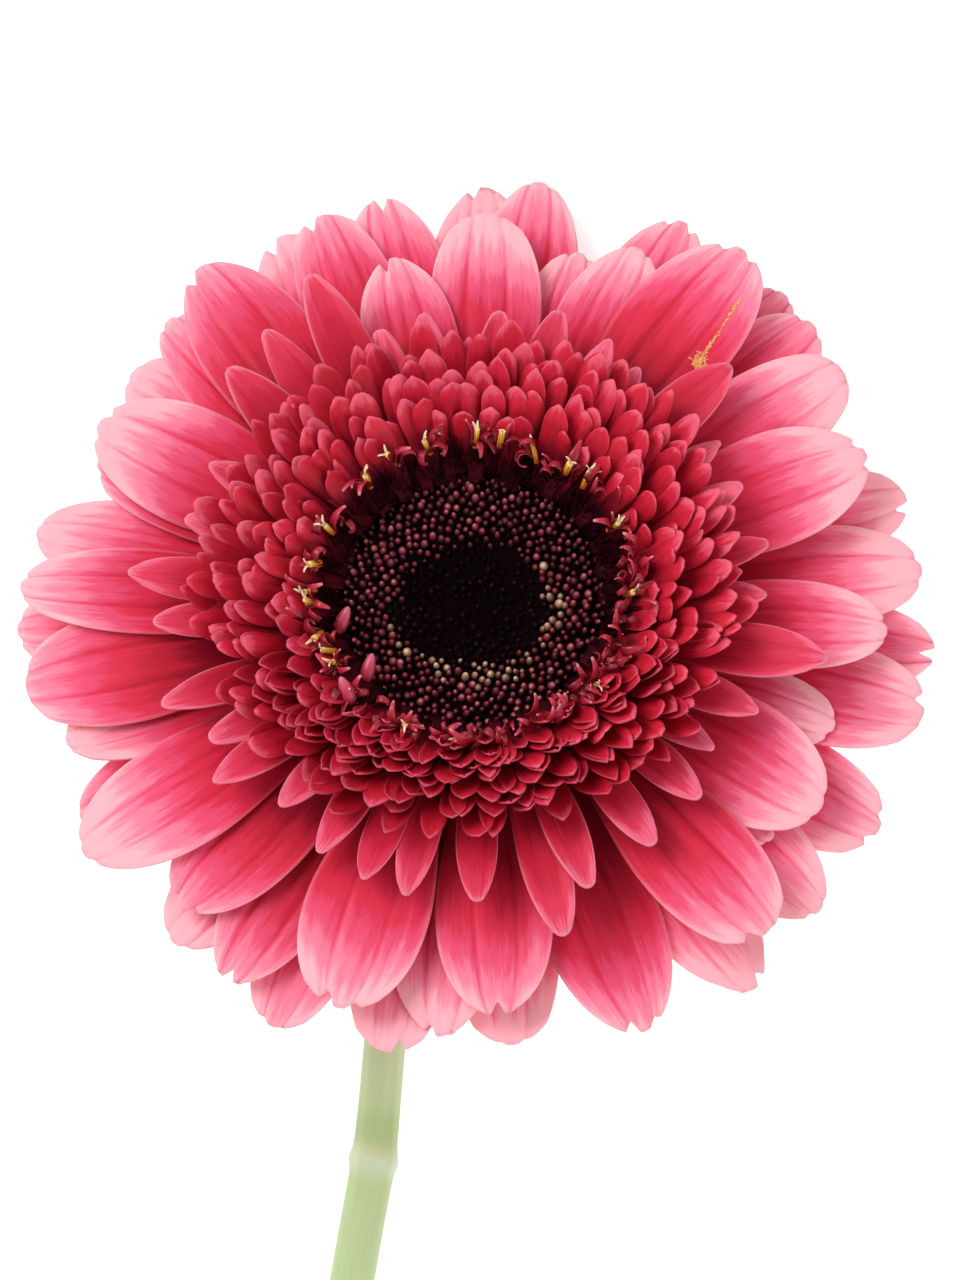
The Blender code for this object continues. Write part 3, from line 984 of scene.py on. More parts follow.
@dataclass
class Ruff:
    """The crimson crest florets, whorl within whorl."""

    palette: Palette
    head: Matrix
    root: float = 17.0
    seed: int = 21
    forms: int = 9  # different florets in a whorl
    low_side_rise: float = 8.0  # degrees by which the florets stand steeper on the side of the stem
    keeled_share: float = 1.15  # of keeled florets there; the share falls to none at the sides
    whorls: tuple[Whorl, ...] = (
        Whorl("crest_whorl_1", "florets_crest_1", 54, 7.8, 34.0, 13.8, 44.0, 3.7, 2.1, 1.4),
        Whorl("crest_whorl_2", "florets_crest_2", 56, 8.2, 32.0, 14.9, 48.0, 3.5, 2.0, 1.4),
        Whorl("crest_whorl_3", "florets_crest_3", 56, 8.6, 29.8, 15.7, 52.0, 3.3, 1.9, 1.3),
        Whorl("crest_whorl_4", "florets_crest_4", 56, 8.8, 27.5, 16.1, 55.0, 3.2, 1.6, 1.2),
        Whorl("crest_whorl_5", "florets_crest_5", 54, 8.8, 25.2, 15.9, 58.0, 3.1, 1.2, 1.1),
        Whorl("crest_whorl_6", "", 50, 8.4, 22.8, 14.6, 60.0, 2.7, 1.0, 1.0),
        Whorl("crest_filling_1", "", 52, 8.0, 30.6, 15.6, 52.0, 3.4, 1.4, 1.3, True),
        Whorl("crest_filling_2", "", 50, 8.4, 26.6, 16.3, 56.0, 3.2, 1.3, 1.3, True),
    )

    def form(self, whorl: Whorl, chance: random.Random, keeled: bool) -> Master:
        """Models one floret of a whorl, pointing to Y.

        Args:
            whorl: the measures of its kind.
            chance: where its small differences come from.
            keeled: whether it is folded lengthwise and pointed.

        Returns:
            The floret, to be repeated.
        """
        rise = math.radians(whorl.rise + chance.uniform(-9.0, 9.0))
        pull = 0.42 * math.dist((self.root, whorl.foot), (whorl.reach, whorl.height))
        strap = Strap(
            root=(self.root, whorl.foot),
            tip=(whorl.reach, whorl.height),
            knee=(whorl.reach - pull * math.cos(rise), whorl.height - pull * math.sin(rise)),
            width=whorl.width * chance.uniform(0.82, 1.14) * (1.02 if keeled else 1.0),
            claw=whorl.claw,
            widest=chance.uniform(0.64, 0.76),
            blunt=chance.uniform(0.08, 0.20) if keeled else chance.uniform(0.18, 0.34),
            ogive=chance.uniform(0.7, 1.0) if keeled else chance.uniform(0.0, 0.75),
            rounding=chance.uniform(0.12, 0.30) / (whorl.reach - self.root),
            power=chance.uniform(1.5, 2.0),
            curl=chance.uniform(-0.7, 0.6),
            camber=chance.uniform(0.1, 0.8) if keeled else chance.uniform(-0.9, 0.15),
            groove=0.03,
            twist=chance.uniform(-20.0, 20.0),
            sway=chance.uniform(-0.9, 0.9),
            thick=0.16,
        )
        return Master.take(strap.build("crest floret", 9, 16))

    def build(self) -> None:
        """Models and dresses the whorls."""
        chance = random.Random(self.seed)
        finishes = self.palette.get(CREST_TOP, CREST_UNDER, CREST_RIM)
        for number, whorl in enumerate(self.whorls):
            kinds = [
                [self.form(whorl, chance, keeled) for _ in range(self.forms)] for keeled in (False, True)
            ]
            step = 360.0 / whorl.count
            copies = []
            for index in range(whorl.count):
                azimuth = (index + 0.5 * (number % 2)) * step + chance.uniform(-0.42, 0.42) * step
                push = Vector((0.0, chance.uniform(-1.0, 0.7) * whorl.scatter, 0.0))
                low_side = max(0.0, -math.cos(math.radians(azimuth)))
                if whorl.low_side and low_side < 0.3 + chance.uniform(-0.15, 0.15):
                    continue
                steeper = chance.uniform(-4.5, 5.0) + self.low_side_rise * low_side
                hinge = Matrix.Translation((0.0, self.root, whorl.foot))
                place = hinge @ turned(steeper, "X") @ hinge.inverted() @ Matrix.Translation(push)
                floret = chance.choice(kinds[chance.random() < self.keeled_share * low_side])
                copies.append((floret, self.head @ at_azimuth(azimuth) @ place, chance.random()))
            piece = repeat(whorl.name, copies, finishes)
            hand_over(piece, "petal_crimson", *((whorl.node,) if whorl.node else ()))


@dataclass(frozen=True)
class ShortRay:
    """A short ray floret between the crest and the long rays."""

    azimuth: float
    reach: float
    width: float


SHORT_RAYS = (
    ShortRay(4.0, 36.6, 5.4), ShortRay(15.5, 37.8, 6.2), ShortRay(27.1, 36.6, 6.0),
    ShortRay(35.0, 35.6, 5.0), ShortRay(46.1, 42.8, 8.0), ShortRay(58.0, 35.6, 5.0),
    ShortRay(69.0, 35.4, 5.0), ShortRay(81.0, 36.4, 5.2), ShortRay(91.0, 35.6, 5.0),
    ShortRay(103.2, 44.1, 8.6), ShortRay(114.3, 38.0, 6.0), ShortRay(124.0, 35.6, 5.2),
    ShortRay(133.5, 38.6, 6.2), ShortRay(145.7, 39.6, 6.0), ShortRay(159.3, 41.0, 6.2),
    ShortRay(165.2, 45.8, 7.2), ShortRay(178.2, 40.2, 6.2), ShortRay(190.8, 39.6, 6.0),
    ShortRay(198.6, 39.2, 5.8), ShortRay(207.9, 38.2, 5.8), ShortRay(219.0, 35.8, 5.2),
    ShortRay(230.1, 39.5, 6.2), ShortRay(238.1, 36.6, 5.8), ShortRay(248.9, 39.8, 6.0),
    ShortRay(264.3, 38.5, 5.8), ShortRay(273.1, 41.5, 6.8), ShortRay(286.7, 36.0, 5.8),
    ShortRay(298.5, 36.0, 6.0), ShortRay(313.3, 41.2, 8.0), ShortRay(322.9, 41.9, 7.0),
    ShortRay(333.9, 45.2, 8.2), ShortRay(341.2, 36.0, 5.4), ShortRay(350.0, 37.0, 5.8),
)


@dataclass
class ShortRays:
    """The whorl of short rays, narrower and redder than the long ones."""

    palette: Palette
    head: Matrix
    root: float = 17.0
    foot: float = 7.0
    rise: float = 0.24  # height gained for each mm outward
    seed: int = 5

    def build(self) -> None:
        """Models and dresses the whorl as one piece."""
        chance = random.Random(self.seed)
        copies = []
        for ray in SHORT_RAYS:
            length = ray.reach - self.root
            strap = Strap(
                root=(self.root, self.foot),
                tip=(ray.reach, self.foot + length * self.rise * chance.uniform(0.75, 1.1)),
                width=ray.width * 0.82,
                claw=1.8,
                widest=chance.uniform(0.58, 0.68),
                blunt=chance.uniform(0.24, 0.38),
                ogive=chance.uniform(0.2, 0.8),
                rounding=chance.uniform(0.016, 0.030),
                power=chance.uniform(1.7, 2.1),
                bow=chance.uniform(0.0, 0.5),
                curl=chance.uniform(-0.8, 0.4),
                camber=chance.uniform(-0.4, 0.7),
                groove=0.12,
                twist=chance.uniform(-8.0, 8.0),
                sway=chance.uniform(-0.8, 0.8),
            )
            form = Master.take(strap.build("short ray", 10, 18))
            copies.append((form, self.head @ at_azimuth(ray.azimuth), chance.random()))
        finishes = self.palette.get(SHORT_TOP, CREST_UNDER, SHORT_RIM)
        piece = repeat("short_ray_whorl", copies, finishes)
        hand_over(piece, "petal_pink", "florets_inner_ray")


# ---------------------------------------------------------------- the eye


@dataclass
class Eye:
    """The cushion of closed florets: dark felt, buds in spirals and hairs."""

    palette: Palette
    head: Matrix
    radius: float = 16.2
    crown: float = 7.9  # height of the cushion, in mm
    dip: float = 2.6  # how much lower its middle is
    shoulder: float = 1.7  # how much lower its edge is
    hollow: float = 8.0  # radius of the dark middle
    seed: int = 11
    spiral: float = 0.565  # how fast the spirals open, mm per root of the bud's number
    last_bud: int = 850
    full: float = 0.84  # size of a bud
    small: float = 0.70  # size of one along the hollow's edge
    light_side: float = 150.0  # azimuth towards which buds are paler
    gone: float = 0.45  # share of buds that the hollow hides altogether
    dark_edge_share: float = 0.35  # share of buds along the hollow's edge that get the hollow's near-black finish, as painted shade
    young: float = 0.62  # largest share of pale buds
    felt_top: float = 0.72  # share of the felt's V on its top; the rest runs down its side
    felt_past: float = 0.4  # how far the felt reaches past the buds and below the receptacle, in mm
    fringe_inside: float = 15.9  # radii of the ring of bristles
    fringe_outside: float = 18.0
    fringe_hairs: int = 8000
    bud_hairs: int = 900
    hollow_hairs: int = 700

    def build(self) -> None:
        """Models and dresses the eye."""
        self.build_felt()
        self.build_buds()
        self.build_hairs()

    def top(self, radius: Array) -> Array:
        """Height of the cushion at a distance from the axis, in mm."""
        r = np.asarray(radius, dtype=float)
        dip = self.dip * (1.0 - smooth(4.5, 9.5, r))
        shoulder = self.shoulder * smooth(13.4, 16.8, r) ** 1.5
        return self.crown - dip - shoulder

    def build_felt(self) -> None:
        """The dark felt under buds and hairs, closed below."""
        edge = self.radius + self.felt_past

        def place(u: Array, v: Array) -> Array:
            """The cushion's top from its middle out, then its side wall down."""
            turn = u * math.tau
            radius = np.clip(v / self.felt_top, 0.0, 1.0) * edge
            down = np.clip((v - self.felt_top) / (1.0 - self.felt_top), 0.0, 1.0)
            height = self.top(radius) * (1.0 - down) - self.felt_past * down
            return np.stack((radius * np.sin(turn), radius * np.cos(turn), height), axis=1)

        felt = shaped_grid("eye_felt", 48, 22, place)
        close_up(felt, 0.001)
        felt.data.transform(self.head)
        for finish in self.palette.get(FUZZ, CLAWS):
            felt.data.materials.append(finish)
        inverse, out = self.head.inverted(), self.head.to_3x3().normalized() @ Vector((0.0, 0.0, 1.0))
        heights = np.array([(inverse @ point.co).z for point in felt.data.vertices])
        for face in felt.data.polygons:
            if abs(face.normal.dot(out)) < 0.6:
                face.material_index = 1
        mark(felt.data, np.clip(heights / self.top(edge), 0.0, 1.0))
        hand_over(felt, "pappus_dark", "disc_florets")

    def bud(self, wide: float, tall: float) -> Master:
        """One closed bud: a small knob with a rounded, slightly pinched top."""
        deselect_all()
        bpy.ops.mesh.primitive_uv_sphere_add(segments=8, ring_count=6, radius=1.0)
        knob = bpy.context.object
        for point in knob.data.vertices:
            pinch = 1.0 - 0.10 * max(0.0, point.co.z) ** 2
            point.co = (point.co.x * wide * pinch, point.co.y * wide * pinch, point.co.z * tall)
        bpy.ops.object.shade_smooth()
        return Master.take(knob)

    def build_buds(self) -> None:
        """Buds in the two sets of spirals that sunflower-like heads grow in."""
        chance = random.Random(self.seed)
        forms = [self.bud(0.52, 0.85), self.bud(0.57, 0.8), self.bud(0.48, 0.9)]
        dark, pale, sunken = [], [], []
        for number in range(2, self.last_bud):
            radius = self.spiral * math.sqrt(number) + chance.uniform(-0.24, 0.24)
            azimuth = number * GOLDEN_ANGLE + chance.uniform(-12.0, 12.0) / radius
            turn = math.radians(azimuth)
            ragged = self.hollow - 0.7 * math.cos(2.0 * turn) + 0.3 * math.sin(3.0 * turn + 1.0)
            ragged += chance.uniform(-0.7, 0.5)
            if radius > self.radius + 0.1:
                continue
            hidden = radius < ragged
            inner = radius < ragged + 1.2
            size = (self.small if inner else self.full) * chance.uniform(0.76, 1.16)
            if radius > 14.3:
                size *= 0.9
            lift = float(self.top(radius)) + chance.uniform(-0.15, 0.25) + 0.3
            outward = math.radians(28.0) * max(0.0, (radius - 12.5) / 3.5)
            place = (
                self.head
                @ at_azimuth(azimuth)
                @ Matrix.Translation((0.0, radius, lift))
                @ Matrix.Rotation(-outward + chance.uniform(-0.25, 0.25), 4, "X")
                @ Matrix.Rotation(chance.uniform(-0.25, 0.25), 4, "Y")
                @ Matrix.Scale(size, 4)
            )
            facing = math.cos(math.radians(azimuth - self.light_side))
            young = smooth(12.4, 8.8, np.array(radius)) * (0.45 + 0.55 * facing)
            # Buds grow darker towards the hollow's edge: painted shade.
            tone = chance.random() ** 1.5 * (1.0 - 0.6 * float(smooth(9.6, 8.0, np.array(radius))))
            tone = min(1.0, tone + 0.30 * max(0.0, facing))
            if hidden and chance.random() < self.gone:
                continue
            # Buds in the hollow get its near-black finish, and some along its edge get it too as painted
            # shade.
            if hidden or (inner and chance.random() < self.dark_edge_share):
                sunken.append((chance.choice(forms), place @ Matrix.Scale(0.9, 4), chance.random()))
            elif chance.random() < self.young * float(young):
                pale.append((chance.choice(forms), place @ Matrix.Scale(1.06, 4), chance.random()))
            else:
                dark.append((chance.choice(forms), place, tone))
        hand_over(repeat("closed_buds", dark, self.palette.get(BUD)), "disc_buds")
        hand_over(repeat("young_buds", pale, self.palette.get(PALE_BUD)), "disc_buds")
        hand_over(repeat("sunken_buds", sunken, self.palette.get(SUNKEN_BUD)), "disc_buds")

    def hair(self) -> Master:
        """One bristle of the pappus, 1 mm long and to be scaled."""
        bristle = spike(1.0, 0.12)
        run_up(bristle.data, 1.0)
        return Master.take(bristle)

    def build_hairs(self) -> None:
        """Dark bristles: a dense ring round the eye, and short ones between the buds."""
        chance = random.Random(self.seed + 1)
        bristle = self.hair()
        copies = []

        def stand(radius: float, height: float, length: float, lean: float, thick: float) -> None:
            """Adds one bristle at a random azimuth."""
            copies.append(
                (
                    bristle,
                    self.head
                    @ at_azimuth(chance.uniform(0.0, 360.0))
                    @ Matrix.Translation((0.0, radius, height))
                    @ turned(-lean, "X")
                    @ turned(chance.uniform(-14.0, 14.0), "Y")
                    @ Matrix.Diagonal((thick, thick, length, 1.0)),
                    chance.random(),
                )
            )

        for _ in range(self.fringe_hairs):
            radius = chance.uniform(self.fringe_inside, self.fringe_outside)
            out = radius - self.fringe_inside
            stand(
                radius, chance.uniform(5.6, 7.2) + out * 1.3, chance.uniform(2.0, 4.2),
                chance.uniform(-8.0, 30.0) + out * 15.0, 0.10,
            )
        for _ in range(self.bud_hairs):
            radius = chance.uniform(8.0, 15.6)
            foot = float(self.top(radius)) - 0.3
            stand(radius, foot, chance.uniform(0.7, 1.4), chance.uniform(-25.0, 25.0), 0.05)
        for _ in range(self.hollow_hairs):
            radius = 7.8 * math.sqrt(chance.random())
            foot = float(self.top(radius)) - 0.4
            stand(radius, foot, chance.uniform(1.2, 2.6), chance.uniform(-40.0, 25.0), 0.07)
        piece = repeat("pappus_hairs", copies, self.palette.get(HAIR))
        hand_over(piece, "pappus_dark", "pappus_fringe")


@dataclass
class OpenFlorets:
    """The open florets at the eye's edge: curled red lips, yellow anthers and pale styles."""

    palette: Palette
    head: Matrix
    seed: int = 3
    ripe: tuple[float, ...] = (
        2.0, 12.0, 26.0, 38.0, 47.0, 65.0, 90.0, 132.0, 180.0, 204.0, 226.0, 240.0, 246.0, 254.0,
        262.0, 270.0, 282.0, 292.0, 316.0, 333.0, 344.0,
    )
    pods: tuple[tuple[float, float, float, float], ...] = (  # azimuth, radius, height, way it points
        (259.0, 15.9, 9.3, 28.0), (233.0, 15.5, 9.5, 16.0), (227.0, 20.2, 13.8, -28.0),
        (146.0, 19.6, 13.6, 24.0),
    )
    curls: tuple[tuple[float, float, float], ...] = (  # length, how far it curls, half its width
        (4.6, 270.0, 0.6), (3.8, 200.0, 0.6), (4.4, 120.0, 0.7), (3.0, 50.0, 0.5),
    )
    loose_lips: int = 130
    tube: float = 3.2  # length of the anthers' tube, in mm

    def lip(self, length: float, turn: float, half: float) -> Master:
        """Models a narrow strip that curls back on itself.

        Args:
            length: in mm, along the curl.
            turn: how far it curls, in degrees.
            half: half its width at the foot, in mm.

        Returns:
            The strip, to be repeated.
        """

        def place(u: Array, v: Array) -> Array:
            """An arc that narrows towards its end."""
            angle = v * math.radians(turn)
            bend = length / math.radians(turn)
            x = (u - 0.5) * 2.0 * half * (1.0 - 0.8 * v**1.6)
            return np.stack((x, bend * (1.0 - np.cos(angle)), bend * np.sin(angle)), axis=1)

        strip = shaped_grid("lip", 3, 10, place)
        thicken(strip, 0.12)
        return Master.take(strip)

    def column(self) -> Master:
        """The tube of joined anthers, with a tapered top."""
        deselect_all()
        bpy.ops.mesh.primitive_cylinder_add(vertices=8, radius=0.5, depth=self.tube)
        tube = bpy.context.object
        bpy.ops.object.mode_set(mode="EDIT")
        bpy.ops.mesh.select_all(action="SELECT")
        bpy.ops.mesh.bevel(offset=0.22, segments=2)
        bpy.ops.object.mode_set(mode="OBJECT")
        bpy.ops.object.shade_smooth()
        tube.data.transform(Matrix.Translation((0.0, 0.0, self.tube / 2.0)))
        run_up(tube.data, self.tube)
        return Master.take(tube)

    def pod(self) -> Master:
        """A loose, seed-shaped floret bud."""
        deselect_all()
        bpy.ops.mesh.primitive_uv_sphere_add(segments=14, ring_count=10, radius=1.0)
        body = bpy.context.object
        for point in body.data.vertices:
            slim = 0.85 * (1.0 - 0.25 * point.co.z)
            point.co = (point.co.x * slim, point.co.y * slim * 0.8, point.co.z * 1.9)
        bpy.ops.object.shade_smooth()
        return Master.take(body)

    def stand(self, azimuth: float, radius: float, height: float, lean: float, side: float) -> Matrix:
        """Finds a place at the eye's edge for a shape that stands on the origin.

        Args:
            azimuth: clockwise from Y, in degrees.
            radius: distance from the axis, in mm.
            height: of its foot, in mm.
            lean: how far it leans outward, in degrees.
            side: how far it leans sideways, in degrees.

        Returns:
            The place on the table, in metres.
        """
        return (
            self.head
            @ at_azimuth(azimuth)
            @ Matrix.Translation((0.0, radius, height))
            @ turned(-lean, "X")
            @ turned(side, "Y")
        )

    def build(self) -> None:
        """Sets the open florets round the eye."""
        chance = random.Random(self.seed)
        lips = [self.lip(*curl) for curl in self.curls]
        style = self.lip(1.7, 60.0, 0.26)
        column = self.column()
        strips, columns, styles = [], [], []
        for azimuth in self.ripe:
            base = self.stand(
                azimuth + chance.uniform(-2.0, 2.0), chance.uniform(18.0, 18.9), chance.uniform(11.0, 12.0),
                chance.uniform(18.0, 42.0), chance.uniform(-30.0, 30.0),
            )
            for _ in range(3):
                spin = Matrix.Rotation(chance.uniform(0.0, math.tau), 4, "Z")
                lift = Matrix.Translation((0.0, 0.35, chance.uniform(0.2, 1.4)))
                strips.append((chance.choice(lips), base @ spin @ lift, chance.random()))
            slim = chance.uniform(0.68, 0.95)
            shape = Matrix.Diagonal((slim, slim, chance.uniform(0.7, 0.95), 1.0))
            columns.append((column, base @ shape, chance.random()))
            for _ in range(2):
                fork = Matrix.Rotation(chance.uniform(0.0, math.tau), 4, "Z")
                styles.append((style, base @ fork @ Matrix.Translation((0.0, 0.0, 2.2)), chance.random()))
        for _ in range(self.loose_lips):
            azimuth = chance.gauss(150.0, 75.0)
            radius = chance.uniform(17.6, 20.8)
            base = self.stand(
                azimuth, radius, 11.2 + (radius - 17.6) + chance.uniform(-0.6, 1.0),
                chance.uniform(0.0, 60.0), chance.uniform(-35.0, 35.0),
            )
            spin = Matrix.Rotation(chance.uniform(0.0, math.tau), 4, "Z")
            size = Matrix.Scale(chance.uniform(0.6, 1.0), 4)
            strips.append((chance.choice(lips), base @ spin @ size, chance.random()))
        pod = self.pod()
        pods = []
        for azimuth, radius, height, way in self.pods:
            lie = at_azimuth(way - azimuth) @ turned(-chance.uniform(55.0, 72.0), "X")
            pods.append((pod, self.stand(azimuth, radius, height, 0.0, 0.0) @ lie, 0.5))
        hand_over(repeat("curled_lips", strips, self.palette.get(LIP) * 3), "petal_crimson")
        hand_over(repeat("anthers", columns, self.palette.get(ANTHER)), "disc_buds")
        hand_over(repeat("styles", styles, self.palette.get(STYLE) * 3), "disc_buds")
        hand_over(repeat("loose_pods", pods, self.palette.get(POD)), "petal_crimson")


# ---------------------------------------------------------------- under the head and the stem


@dataclass(frozen=True)
class BractRow:
    """A row of bracts: its solid, how many, and the (radius, height) line each lies on, in mm."""

    node: str
    name: str
    count: int
    root: tuple[float, float]
    tip: tuple[float, float]
    width: float
    bow: float


@dataclass
class Involucre:
    """The green cup of bracts that holds the head."""

    palette: Palette
    head: Matrix
    seed: int = 9
    rows: tuple[BractRow, ...] = (
        BractRow("bracts_inner", "inner_bracts", 26, (12.3, -7.5), (19.8, -0.5), 4.4, -0.5),
        BractRow("bracts_outer", "outer_bracts", 20, (7.6, -10.7), (17.0, -4.7), 4.0, -0.6),
    )

    def build(self) -> None:
        """Models and dresses both rows."""
        chance = random.Random(self.seed)
        finishes = self.palette.get(BRACT) * 3
        for row in self.rows:
            forms = []
            for _ in range(5):
                strap = Strap(
                    root=row.root, tip=row.tip, width=row.width * chance.uniform(0.85, 1.1),
                    claw=row.width * 0.8, widest=0.35, blunt=0.14, rounding=0.05, power=1.2,
                    bow=row.bow, curl=chance.uniform(-0.5, 0.3), camber=-0.5,
                    twist=chance.uniform(-5.0, 5.0), thick=0.35,
                )
                forms.append(Master.take(strap.build("bract", 6, 10)))
            copies = []
            for index in range(row.count):
                azimuth = index * 360.0 / row.count + chance.uniform(-3.0, 3.0)
                copies.append((chance.choice(forms), self.head @ at_azimuth(azimuth), chance.random()))
            hand_over(repeat(row.name, copies, finishes), "bract_green", row.node)


@dataclass
class Scape:
    """The bare, downy stem with the receptacle it widens into, and its clean cut."""

    palette: Palette
    middle: Vector
    axis: Vector
    seed: int = 13
    around: int = 36
    length: float = 0.372  # with the receptacle, in metres
    cut_from: float = 0.985  # share of V at which the skin ends and the cut begins
    ribs: float = 9.0
    rib_depth: float = 0.018  # as a share of the radius
    neck_knots: int = 5
    ring_knot: int = 4  # the swollen ring lies between this knot of the run and the next
    ring_height: float = 0.68  # in mm
    ring_half: float = 1.15  # half the ring's length, in mm
    hairs: int = 3600
    bell: tuple[tuple[float, float], ...] = (
        (17.8, 0.0), (17.6, -1.0), (16.4, -3.0), (13.9, -5.5), (10.7, -8.0), (7.5, -10.0),
        (4.9, -11.7), (3.4, -13.2), (2.75, -15.0),
    )
    run: tuple[tuple[float, float, float], ...] = (
        (-5.6, -26.0, 2.55), (-8.9, -38.0, 2.55), (-10.9, -51.0, 2.6), (-11.8, -61.0, 2.65),
        (-12.3, -66.4, 2.75), (-12.6, -68.4, 2.8), (-13.2, -71.2, 2.75), (-15.5, -84.0, 2.8),
        (-18.8, -105.0, 2.85), (-22.0, -135.0, 2.95), (-23.6, -170.0, 3.05), (-22.9, -205.0, 3.2),
        (-20.2, -240.0, 3.3), (-15.4, -275.0, 3.45), (-8.6, -310.0, 3.55), (-1.6, -338.0, 3.65),
    )

    def knots(self) -> tuple[Array, Array]:
        """Centres in metres and radii in metres along the scape, from the receptacle's top."""
        centres, radii = [], []
        for radius, height in self.bell:
            centres.append(np.array(self.middle + self.axis * height * MM))
            radii.append(radius * MM)
        neck = Vector(centres[-1])
        x, y, radius = self.run[0]
        down = Vector((self.middle.x + x * MM, self.middle.y + y * MM, radius * MM))
        ahead = Vector((self.run[1][0] - x, self.run[1][1] - y, 0.0)).normalized()
        pull = (down - neck).length * 0.42
        bend = [neck, neck - self.axis * pull, down - ahead * pull, down]
        for k in range(1, self.neck_knots + 1):
            t = k / (self.neck_knots + 1)
            weights = ((1 - t) ** 3, 3 * (1 - t) ** 2 * t, 3 * (1 - t) * t * t, t**3)
            at = sum((p * w for p, w in zip(bend, weights)), Vector())
            thick = (self.bell[-1][0] * (1 - t) + radius * t) * MM
            at.z = max(at.z, thick + 0.05 * MM)
            centres.append(np.array(at))
            radii.append(thick)
        for x, y, radius in self.run:
            place = (self.middle.x + x * MM, self.middle.y + y * MM, radius * MM)
            centres.append(np.array(place))
            radii.append(radius * MM)
        return np.array(centres), np.array(radii)

    def distances(self, centres: Array) -> Array:
        """How far along the scape each of its knots is, in metres."""
        steps = np.linalg.norm(np.diff(centres, axis=0), axis=1)
        return np.concatenate(([0.0], np.cumsum(steps)))

    def path(self, v: Array) -> tuple[Array, Array]:
        """Centre and radius at shares of the scape's length, through its knots, with no overshoot."""
        centres, radii = self.knots()
        along = self.distances(centres)
        want = v * along[-1]
        fine = np.linspace(0.0, along[-1], 1600)
        spread = 2.2 * MM
        reach = 30
        kernel = np.exp(-0.5 * (np.arange(-reach, reach + 1) * (fine[1] - fine[0]) / spread) ** 2)
        kernel /= kernel.sum()
        smoothed = []
        for column in (*centres.T, radii):
            line = np.interp(fine, along, column)
            padded = np.concatenate(
                (2 * line[0] - line[reach:0:-1], line, 2 * line[-1] - line[-2 : -reach - 2 : -1])
            )
            smoothed.append(np.interp(want, fine, np.convolve(padded, kernel, "valid")))
        return np.stack(smoothed[:3], axis=1), smoothed[3]

    def past_ring(self, share: Array) -> Array:
        """How far past its swollen ring the scape is at shares of its length, in mm."""
        along = self.distances(self.knots()[0])
        ring = len(self.bell) + self.neck_knots + self.ring_knot
        return (share * along[-1] - (along[ring] + along[ring + 1]) / 2) / MM

    def frames(self, v: Array) -> tuple[Array, Array, Array, Array]:
        """Centre, radius and the two directions across the scape at each share."""
        step = 0.0008
        centre, radius = self.path(v)
        ahead = self.path(np.clip(v + step, 0, 1))[0] - self.path(np.clip(v - step, 0, 1))[0]
        ahead /= np.linalg.norm(ahead, axis=1)[:, None]
        # The stem bends in one upright plane, so a fixed sideways direction never lines up with it.
        side = np.cross(ahead, np.array((0.9, 0.25, 0.0)))
        side /= np.linalg.norm(side, axis=1)[:, None]
        other = np.cross(ahead, side)
        return centre, radius, side, other

    def share(self, v: Array) -> Array:
        """Share of the scape's length at V; the head's end gets more rows."""
        return np.clip(v / self.cut_from, 0.0, 1.0) ** 1.25

    def build(self) -> None:
        """Models and dresses the scape, its cut and its down."""

        def place(u: Array, v: Array) -> Array:
            """The ribbed skin with its swollen ring, then the flat cut."""
            share = self.share(v)
            centre, radius, side, other = self.frames(share)
            turn = u * math.tau
            length = share * self.length
            wave = 1.0 - np.sin(turn * self.ribs + 3.0 * length / 0.1)
            ribs = 1.0 - self.rib_depth * wave * smooth(0.018, 0.05, length)
            past = self.past_ring(share) + 0.4 * np.cos(turn)
            swell = self.ring_height * MM * np.exp(-np.abs(past / self.ring_half) ** 1.6)
            radius = radius * ribs + swell * (0.8 + 0.2 * np.cos(2.0 * turn))
            centre = centre + np.outer(swell, (0.0, 0.0, 1.0))
            radius = radius * (1.0 - np.clip((v - self.cut_from) / (1.0 - self.cut_from), 0.0, 1.0))
            out = side * np.cos(turn)[:, None] + other * np.sin(turn)[:, None]
            return centre + out * radius[:, None]

        def paint(v: Array) -> Array:
            """Tone of the skin: deeper just above the ring, palest on it."""
            share = self.share(v)
            past = self.past_ring(share)
            tone = 0.56 + 0.24 * share - 0.15 * smooth(0.0, 3.0, past)
            tone = tone - 0.26 * np.exp(-(((past + 4.0) / 3.2) ** 2))
            return tone + (0.84 - tone) * np.exp(-(((past - 0.3) / 1.7) ** 4))

        stem = shaped_grid("downy_scape", self.around, 420, place)
        uv = read(stem.data.uv_layers.active.uv, "vector", 2, np.float32)
        shades = np.zeros(len(stem.data.vertices), np.float32)
        shades[read(stem.data.loops, "vertex_index")] = paint(uv[:, 1])
        mark(stem.data, shades)
        close_up(stem, 0.00002)
        for finish in self.palette.get(SCAPE, PITH):
            stem.data.materials.append(finish)
        end = self.path(np.array([1.0]))[0][0]
        back = self.path(np.array([0.99]))[0][0]
        way = Vector(end - back).normalized()
        for face in stem.data.polygons:
            if (face.center - Vector(end)).length < 4.5 * MM and face.normal.dot(way) > 0.9:
                face.material_index = 1
        activate(stem)
        bpy.ops.object.shade_smooth_by_angle(angle=math.radians(50.0))
        hand_over(stem, "stem_green", "scape")
        self.build_down()

